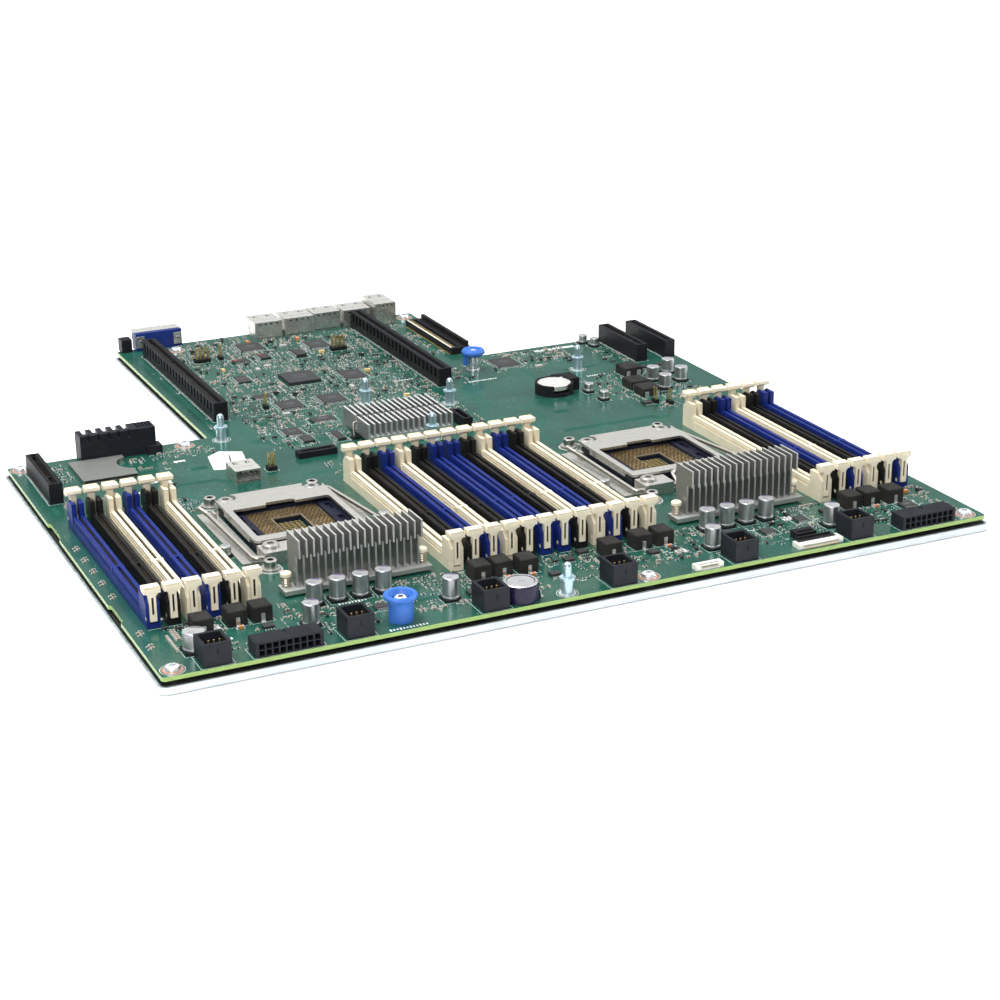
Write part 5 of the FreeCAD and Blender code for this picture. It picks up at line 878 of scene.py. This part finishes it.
def labels():
    """Blank paper labels, and small code squares filled with a plain pattern."""
    paper = Pile("blank_labels", [PAPER, DARK_MARK_AND_SHADE])
    paper.prism([(100.5, 240), (119, 234.5), (124, 262), (112, 268), (104, 262)], TOP, TOP + 0.08)
    for i in range(6):
        paper.block(112 + 0.6 * i, 243 + 3.0 * i, TOP + 0.08, 8.5 - i * 0.4, 0.5, 0.01, 1, 73)
    squares = [(55.0, 222.0), (72.0, 233.0), (36.0, 40.5), (24.5, 6.4), (268.5, 26.5), (338.0, 41.0)]
    for x, y in squares:
        paper.block(x, y, TOP, 5.4, 5.4, 0.04, 0)
        for i in range(7):
            for j in range(7):
                if (i * 3 + j * 5 + i * j) % 3 == 0:
                    paper.block(x - 2.1 + 0.7 * i, y - 2.1 + 0.7 * j, TOP + 0.04, 0.6, 0.6, 0.01, 1)
    paper.finish()


# ---------------------------------------------------------------- processor sockets


def processor_details():
    """Leaning contact springs in both sockets and the row capacitors in their middle cavity."""
    springs = Pile("processor_contact_springs", [GOLD, DULL_GOLD])
    pitch = 1.05
    for low, high in islands("processor_contacts"):
        x_mid, y_mid = middle(low, high)
        seat = high[2]
        across = int((high[0] - low[0] - 1) / pitch)
        along = int((high[1] - low[1] - 1) / pitch)
        for i in range(across):
            for j in range(along):
                x = low[0] + 0.9 + i * pitch
                y = low[1] + 0.9 + j * pitch
                if abs(x - x_mid) < 8.2 and -12.2 < y - y_mid < 9.2:
                    continue
                lean = 0.45 if y < y_mid else -0.45
                contact_spring(springs, x, y, seat, lean)
        for i in range(5):
            for j in range(8):
                x, y = x_mid - 5.2 + i * 2.6, y_mid - 9.2 + j * 2.2
                springs.block(x, y, TOP + 0.02, 1.5, 0.55, 0.7, 1, 0, 0.05)
                for side in (-1, 1):
                    springs.block(x + side * 0.9, y, TOP + 0.02, 0.35, 1.2, 0.8, 0, 0, 0.05)
    springs.finish()


def contact_spring(pile, x, y, seat, lean):
    """One thin leaning blade with a wider tip."""
    half, thick, rise = 0.17, 0.08, 0.95
    rings = []
    for z, shift, wide in ((0.0, 0.0, half), (rise * 0.6, lean * 0.8, half), (rise, lean, half * 1.3)):
        rings.append([(x + dx + shift * 0.4, y + dy + shift, seat + z) for dx, dy in (
            (-wide, -thick), (wide, -thick), (wide, thick), (-wide, thick))])
    pile.sweep(rings, 1 if (int(x * 7) + int(y * 5)) % 3 else 0)


# ---------------------------------------------------------------- memory sockets


def memory_ribs():
    """Thin partition ribs along both lips of every memory socket, between the contact cells."""
    for colour, material in (("blue", BLUE), ("black", BLACK), ("white", IVORY)):
        ribs = Pile("memory_socket_ribs_" + colour, [material])
        for low, high in STANDING["memory_sockets_" + colour]:
            x, y_mid = middle(low, high)
            y = low[1] + 11.5
            while y < high[1] - 11.5:
                if abs(y - (y_mid - 12)) > 1.4:
                    for side in (-1, 1):
                        ribs.block(x + side * 2.86, y, TOP + 5.35, 0.36, 0.42, 1.7, 0, 0, 0.08)
                y += 1.0
            for side in (-1, 1):
                ribs.block(x + side * 2.85, y_mid - 12, TOP + 5.3, 0.5, 2.4, 3.1, 0, 0, 0.15)
                for end, sign in ((low[1], 1), (high[1], -1)):
                    ribs.block(x + side * 3.0, end + sign * 10.9, TOP + 0.02, 0.7, 1.2, 7.6, 0, 0, 0.2)
        ribs.finish()


def latch_details():
    """Flared gussets under each latch head and a dark strip painted as the shade at the bottom of the slot
    in its arm.
    """
    for end, outward in (("front", -1), ("rear", 1)):
        for bank in ("left", "centre", "right"):
            node = "memory_latches_%s_%s" % (end, bank)
            flares = Pile("latch_gussets_%s_%s" % (end, bank), [LATCH, SHADOW])
            for low, high in islands(node):
                x = (low[0] + high[0]) / 2
                face = low[1] if outward < 0 else high[1]
                inner = face - outward * 2.6
                near, far = min(face, inner) + 0.25, max(face, inner) - 0.25
                foot, head = high[2] - 4.3, high[2] - 2.9
                flares.sweep([[(x - 1.62, y, foot), (x + 1.62, y, foot), (x + 2.9, y, head),
                               (x - 2.9, y, head)] for y in (far, near)])
                # painted shade: a dark strip at the bottom of the slot in the latch arm
                flares.block(x, face - outward * 0.94, high[2] - 13.2, 1.0, 0.1, 8.2, 1)
                lip = face - outward * 0.35
                flares.block(x, lip, high[2] - 0.02, 7.2, 0.7, 0.5, 0, 0, 0.15)
            flares.finish("latches_%s_%s" % (end, bank))


# ---------------------------------------------------------------- capacitors and inductors


def capacitor_marks():
    """Printed polarity segment on every can and the sheared rim line of its top."""
    tops = Pile("can_top_marks", [PURPLE, DARK_MARK_AND_SHADE])
    for low, high in islands("capacitor_cans"):
        x, y = middle(low, high)
        radius = (high[0] - low[0]) / 2 - 0.75
        slot = 0 if (high[0] - low[0]) < 8.5 and low[1] < 60 else 1
        outline = []
        for i in range(17):
            angle = math.radians(8 + 104 * i / 16)
            outline.append((x + radius * math.cos(angle), y + radius * math.sin(angle)))
        tops.prism(outline, high[2], high[2] + 0.02, slot)
        for i in range(3):
            tops.block(x - radius * 0.2 * i - 0.4, y - radius * 0.45 + 0.5 * i, high[2], radius * 0.55,
                       0.22, 0.015, 1, 52)
    tops.finish()


def backup_top():
    """Rubber-ringed top plate, dark lines painted as the shade in its scored vents, and the folded solder
    lug of the large capacitor.
    """
    (low, high), = islands("backup_capacitor")
    x, y = middle(low, high)
    radius = (high[0] - low[0]) / 2
    plate = Pile("backup_capacitor_top", [CAN, DARK_MARK_AND_SHADE, BRIGHT])
    plate.disc(x, y, high[2] - 0.42, radius - 2.15, 0.22, 0, 48, 0.08)
    plate.ring(x, y, high[2] - 0.42, radius - 3.3, radius - 3.1, 0.25, 0, 48)
    # painted shade: dark lines in the two scored vent grooves
    for turn in (20, 110):
        plate.block(x + 0.6, y, high[2] - 0.21, radius * 0.5, 0.22, 0.03, 1, turn)
    plate.block(x + radius + 0.3, y - 1.5, TOP, 0.4, 3.4, 3.4, 2, 0, 0.1)
    plate.block(x + radius + 1.0, y - 1.5, TOP, 1.8, 3.4, 0.35, 2, 0, 0.1)
    plate.finish()


def choke_terminals():
    """Folded flat-wire ends on the tall inductors, and two front plates on the low ones."""
    ends = Pile("choke_terminals", [SOLDER])
    for low, high in STANDING["power_chokes"]:
        x = (low[0] + high[0]) / 2
        if high[2] - low[2] > 6:
            tall = (high[2] - low[2]) * 0.55
            ends.block(x, low[1] - 0.02, TOP, 1.9, 0.45, tall, 0, 0, 0.15)
            ends.block(x, low[1] - 0.7, TOP, 2.2, 1.3, 0.3, 0, 0, 0.1)
            ends.block(x, high[1] + 0.2, TOP, 2.2, 0.6, 2.0, 0, 0, 0.15)
        else:
            for side in (-1, 1):
                shift = side * (high[0] - low[0]) * 0.3
                ends.block(x + shift, low[1] - 0.15, TOP, 2.6, 0.4, 3.2, 0, 0, 0.1)
    ends.finish()


# ---------------------------------------------------------------- connectors


def slot_contacts():
    """Gold contact tips along the grooves of the riser and short slots, and solder tails beside them."""
    tips = Pile("slot_contact_tips", [DULL_GOLD, SOLDER])
    for node in ("riser_slots", "short_card_slots"):
        for low, high in STANDING[node]:
            x = (low[0] + high[0]) / 2
            y = low[1] + 3.6
            while y < high[1] - 6.0:
                for side in (-1, 1):
                    tips.block(x + side * 0.84, y, high[2] - 5.6, 0.16, 0.45, 3.6, 0)
                    edge = low[0] if side < 0 else high[0]
                    tips.block(edge + side * 0.35, y, TOP, 0.8, 0.35, 0.16, 1)
                y += 1.0
    tips.finish()


def port_shell_details():
    """Spring leaves and seams on each metal port shell, and dark sheets painted as the shade in its relief
    slots and in the gap along its foot.
    """
    details = Pile("port_shell_details", [TIN, SHADOW, GOLD, CONNECTOR])
    for node in ("network_jacks", "usb_ports"):
        for low, high in STANDING[node]:
            length, depth = high[0] - low[0], high[1] - low[1]
            x, y = middle(low, high)
            for share in (0.26, 0.74):
                px = low[0] + length * share
                # painted shade: a dark sheet in each relief slot on top
                details.block(px, high[1] - depth * 0.26, high[2] - 0.01, 2.2, 3.4, 0.04, 1)
                details.block(px, high[1] - depth * 0.3, high[2], 1.1, 2.4, 0.3, 0, 0, 0.1)
            details.block(x, low[1] + depth * 0.35, high[2] - 0.01, length * 0.82, 0.18, 0.03, 1)
            for side, edge in ((-1, low[0]), (1, high[0])):
                # painted shade: a dark sheet in the slot on each side
                details.block(edge, y - depth * 0.1, TOP + 3.0, 0.16, depth * 0.5, 0.22, 1)
                details.block(edge + side * 0.06, y + depth * 0.2, TOP + 4.4, 0.3, depth * 0.18, 2.2,
                              0, 0, 0.08)
            # painted shade: dark sheets in four front slots and in the gap along the shell's foot
            for i in range(4):
                details.block(low[0] + length * (0.2 + 0.2 * i), low[1], high[2] - 2.0, 1.3, 0.12, 0.9, 1)
            details.block(x, low[1] - 0.03, TOP + 0.6, length * 0.9, 0.14, 0.3, 1)
    for low, high in STANDING["network_jacks"]:
        x = (low[0] + high[0]) / 2
        for i in range(8):
            details.block(x - 3.57 + 1.02 * i, high[1] - 6.0, TOP + 1.9, 0.4, 7.0, 0.4, 2)
        for side in (-1, 1):
            details.block(x + side * 7.6, high[1] - 0.2, TOP + 8.9, 2.4, 0.5, 1.6, 3)
    details.finish()


def video_port_details():
    """Steel plate over the video connector, and a bracket with a slotted screw on each side of it."""
    low, high = box_mm("video_connector")
    x = (low[0] + high[0]) / 2
    face = high[1] - 5.2
    plate = Pile("video_port_metalwork", [TIN, BRIGHT, SHADOW])
    plate.block(x, face - 0.6, high[2], 30.6, 9.4, 0.35, 0, 0, 0.1)
    for side in (-1, 1):
        px = x + side * 12.3
        plate.block(px, low[1] - 0.3, TOP + 2.2, 5.4, 0.9, 7.4, 0, 0, 0.2)
        plate.disc_y(px, low[1] - 0.9, TOP + 6.0, 1.5, 0.4, 1)
        # painted shade: a dark sheet in the slot of each screw head
        plate.block(px, low[1] - 1.32, TOP + 5.75, 2.2, 0.06, 0.5, 2)
    plate.finish()


def battery_details():
    """Raised rim groove of the coin cell and the spring arm of its holder."""
    low, high = box_mm("coin_cell")
    x, y = middle(low, high)
    top = high[2]
    arm = Pile("battery_contact_arm", [BRIGHT, CELL])
    arm.ring(x, y, top, 8.3, 8.5, 0.03, 1, 64)
    arm.prism([(x + 5.4, y + 4.6), (x + 6.8, y + 3.2), (x + 11.6, y + 8.0), (x + 10.2, y + 9.4)],
              top + 0.05, top + 0.4, 0, 0.08)
    arm.finish()


def tail_connector_details():
    """Fine contact comb and white bar of the long tail connector."""
    comb = Pile("tail_connector_comb", [GOLD, WHITE])
    low, high = max(STANDING["board_connectors"], key=lambda box: box[1][1] - box[0][1])
    y = low[1] + 3
    while y < high[1] - 3:
        comb.block(low[0] + 1.9, y, high[2] - 3.2, 2.6, 0.34, 0.3, 0)
        comb.block(low[0] - 0.5, y, TOP, 1.2, 0.3, 0.2, 0)
        y += 0.8
    y_mid = (low[1] + high[1]) / 2
    comb.block(low[0] + 0.5, y_mid, high[2] - 3.0, 0.8, high[1] - low[1] - 4, 0.4, 1, 0, 0.1)
    comb.finish()


def ribbon_details():
    """Painted shade in the mouth of the white ribbon connector, its bright contacts, and gold fingers of the
    wide one.
    """
    fingers = Pile("ribbon_connector_contacts", [SHADOW, SOLDER, GOLD])
    for low, high in STANDING["ribbon_connectors"]:
        length = high[0] - low[0]
        x = (low[0] + high[0]) / 2
        wide = length > 20
        if not wide:
            # painted shade: a dark strip in the connector's mouth
            fingers.block(x, low[1] + 1.5, high[2] - 0.01, length - 4.4, 0.9, 0.04, 0)
        count = int((length - 5) / 0.8)
        for i in range(count):
            px = x + (i - (count - 1) / 2) * 0.8
            fingers.block(px, low[1] - 0.35, TOP, 0.36, 1.1, 0.25, 2 if wide else 1)
            if not wide:
                fingers.block(px, high[1] + 0.3, TOP, 0.36, 0.9, 0.25, 1)
                fingers.block(px, low[1] + 1.5, high[2] + 0.03, 0.3, 0.6, 0.03, 1)
    fingers.finish()


def handle_details():
    """Two dark strips painted as the shade in the cross recess of the screw head inside the blue handle."""
    low, high = box_mm("handle_screw")
    x, y = middle(low, high)
    recess = Pile("handle_screw_recess", [SHADOW])
    # painted shade: two dark strips in the cross recess
    for turn in (20, 110):
        recess.block(x, y, high[2], 2.6, 0.6, 0.03, 0, turn)
    recess.finish()


def fan_header_details():
    """A moulded polarising rib on the front wall of each header."""
    ribs = Pile("fan_header_ribs", [SLATE])
    for low, high in STANDING["fan_headers"]:
        x = (low[0] + high[0]) / 2
        ribs.block(x + 0.2, low[1] + 0.42, high[2] - 7.6, 0.35, 0.2, 4.2, 0, 0, 0.05)
        for side in (-1, 1):
            ribs.block(x + side * 4.4, high[1] - 1.6, high[2] - 3.2, 2.0, 0.5, 3.0, 0, 0, 0.1)
        ribs.block(x, low[1] + 3.2, high[2] - 5.4, 3.6, 1.8, 0.5, 0, 0, 0.1)
    ribs.finish()


def chipset_clip_anchors():
    """Black moulded anchors at the two ends of the heat sink's wire clip."""
    low, high = box_mm("heat_sink_clip")
    anchors = Pile("clip_anchors", [CONNECTOR, SOLDER])
    for x, y in ((low[0] + 1.0, low[1] + 0.4), (high[0] - 0.4, high[1] - 0.2)):
        anchors.block(x, y, TOP, 1.2, 5.4, 2.2, 0, 0, 0.2)
        for side in (-1, 1):
            anchors.block(x + side * 1.2, y, TOP, 1.3, 4.2, 1.2, 0, 0, 0.2)
    for i in range(5):
        anchors.block(low[0] - 2.4, low[1] - 2.0 + i * 1.1, TOP, 1.2, 0.4, 0.2, 1)
    anchors.finish()


def crystals():
    """Flat metal crystal cans."""
    cans = Pile("crystal_cans", [TIN, SOLDER])
    for x, y, turn in ((214, 446, 0), (182, 404, 90), (222, 345, 90), (168, 312, 0), (342, 331, 0),
                       (190, 408, 0)):
        half = 3.0
        if is_free(x - half, y - half, x + half, y + half):
            take(x - half, y - half, x + half, y + half)
            cans.block(x, y, TOP + 0.1, 4.6, 2.9, 1.2, 0, turn, 0.25)
            cans.block(x, y, TOP, 5.0, 3.2, 0.25, 1, turn)
    cans.finish()


def power_stages():
    """Eight-legged power transistors in front of the regulator heat sinks and by the rear inductors."""
    stages = Pile("power_transistors", [RESIN, SOLDER])
    places = [(58, 30), (100, 30), (130, 36), (200, 27), (214, 40), (255, 30), (268, 33), (300, 36),
              (330, 46), (360, 40), (410, 26), (30, 28), (340, 52), (124, 22), (146, 18), (376, 272),
              (384, 250), (366, 236), (398, 300), (410, 300), (224, 46), (296, 22), (86, 42), (156, 24)]
    for x, y in places:
        if not is_free(x - 3.4, y - 3.4, x + 3.4, y + 3.4):
            continue
        take(x - 3.4, y - 3.4, x + 3.4, y + 3.4)
        stages.block(x, y, TOP + 0.15, 5.2, 4.4, 1.4, 0, 0, 0.2)
        for i in range(4):
            for side in (-1, 1):
                stages.block(x - 1.9 + 1.27 * i, y + side * 2.7, TOP, 0.5, 1.1, 0.3, 1)
    stages.finish()


def build_details():
    crystals()
    power_stages()
    output_capacitors()
    dress_chips()
    scatter_all()
    parts.finish()
    print_outlines()
    marks.finish()
    draw_tracks()
    tracks.finish()
    copper_rings()
    labels()
    processor_details()
    memory_ribs()
    latch_details()
    capacitor_marks()
    backup_top()
    choke_terminals()
    slot_contacts()
    port_shell_details()
    video_port_details()
    battery_details()
    tail_connector_details()
    fan_header_details()
    ribbon_details()
    handle_details()
    chipset_clip_anchors()


build_details()

# ---------------------------------------------------------------- floor, light and camera


def floor():
    """A white sweep: matt white under the object, glowing slightly far away so it never turns grey."""
    low, high = cad_box
    centre = (Vector(low) + Vector(high)) / 2
    mesh = bpy.data.meshes.new("floor")
    reach = 6.0
    mesh.from_pydata([(centre.x + x * reach, centre.y + y * reach, low[2] - 0.0004)
                      for x, y in ((-1, -1), (1, -1), (1, 1), (-1, 1))], [], [[0, 1, 2, 3]])
    ground = bpy.data.objects.new("floor", mesh)
    bpy.context.scene.collection.objects.link(ground)
    shade = Shade("floor_white")
    dark, light = (0.93, 0.93, 0.93), (0.95, 0.95, 0.95)
    shade.put("Base Color", shade.ramp(shade.noise(300.0, 2), (0.3, dark), (0.7, light)))
    shade.put("Roughness", 0.7)
    shade.put("Specular IOR Level", 0.1)
    away = shade.tree.nodes.new("ShaderNodeVectorMath")
    away.operation = "DISTANCE"
    away.inputs[1].default_value = centre
    shade.feed(away.inputs[0], shade.place)
    shade.put("Emission Color", (1, 1, 1, 1))
    shade.put("Emission Strength", shade.range(away.outputs["Value"], 0.0, 0.5, 0.7, 2.6))
    mesh.materials.append(shade.material)


def lamp(name, place, target, size, power):
    """A rectangular soft light aimed at a point."""
    light = bpy.data.lights.new(name, "AREA")
    light.shape = "RECTANGLE"
    light.size, light.size_y = size
    light.energy = power
    made = bpy.data.objects.new(name, light)
    made.location = place
    made.rotation_euler = (Vector(target) - Vector(place)).to_track_quat("-Z", "Y").to_euler()
    bpy.context.scene.collection.objects.link(made)


def studio():
    world = bpy.data.worlds.new("studio")
    world.use_nodes = True
    tree = world.node_tree
    background = tree.nodes["Background"]
    place = tree.nodes.new("ShaderNodeTexCoord")
    split = tree.nodes.new("ShaderNodeSeparateXYZ")
    dome = tree.nodes.new("ShaderNodeValToRGB")
    for position, grey in ((0.0, 0.30), (0.22, 0.22), (0.55, 0.62)):
        element = dome.color_ramp.elements.new(position) if position else dome.color_ramp.elements[0]
        element.position = position
        element.color = (grey * 0.97, grey * 0.985, grey, 1)
    dome.color_ramp.elements[-1].color = (0.95, 0.97, 1.0, 1)
    path = tree.nodes.new("ShaderNodeLightPath")
    seen = tree.nodes.new("ShaderNodeMix")
    seen.data_type = "RGBA"
    seen.inputs[7].default_value = (1, 1, 1, 1)
    tree.links.new(place.outputs["Generated"], split.inputs[0])
    tree.links.new(split.outputs[2], dome.inputs[0])
    tree.links.new(path.outputs["Is Camera Ray"], seen.inputs[0])
    tree.links.new(dome.outputs[0], seen.inputs[6])
    tree.links.new(seen.outputs[2], background.inputs[0])
    bpy.context.scene.world = world
    aim = (0.21, 0.2, 0.0)
    lamp("key_softbox", (-0.2, 0.5, 1.7), aim, (1.3, 1.0), 34)
    lamp("front_fill", (-0.7, -1.2, 0.9), aim, (1.0, 0.8), 14)
    lamp("right_strip", (1.5, 0.0, 0.8), aim, (0.4, 1.2), 8)
    bpy.context.scene.view_settings.view_transform = "Standard"


def camera():
    """The photograph's viewpoint: a short telephoto from the front left, looking 21 degrees down."""
    data = bpy.data.cameras.new("camera")
    data.lens = 74.6
    data.shift_x = 0.0102
    data.shift_y = -0.0032
    eye = bpy.data.objects.new("camera", data)
    place = Vector((-0.2067, -0.7814, 0.3880))
    aim = Vector((0.2169, 0.1360, 0.0077))
    roll = Matrix.Rotation(math.radians(-0.62), 4, "Z")
    turn = (aim - place).to_track_quat("-Z", "Y").to_matrix().to_4x4()
    eye.matrix_world = Matrix.Translation(place) @ turn @ roll
    bpy.context.scene.collection.objects.link(eye)
    bpy.context.scene.camera = eye


floor()
studio()
camera()
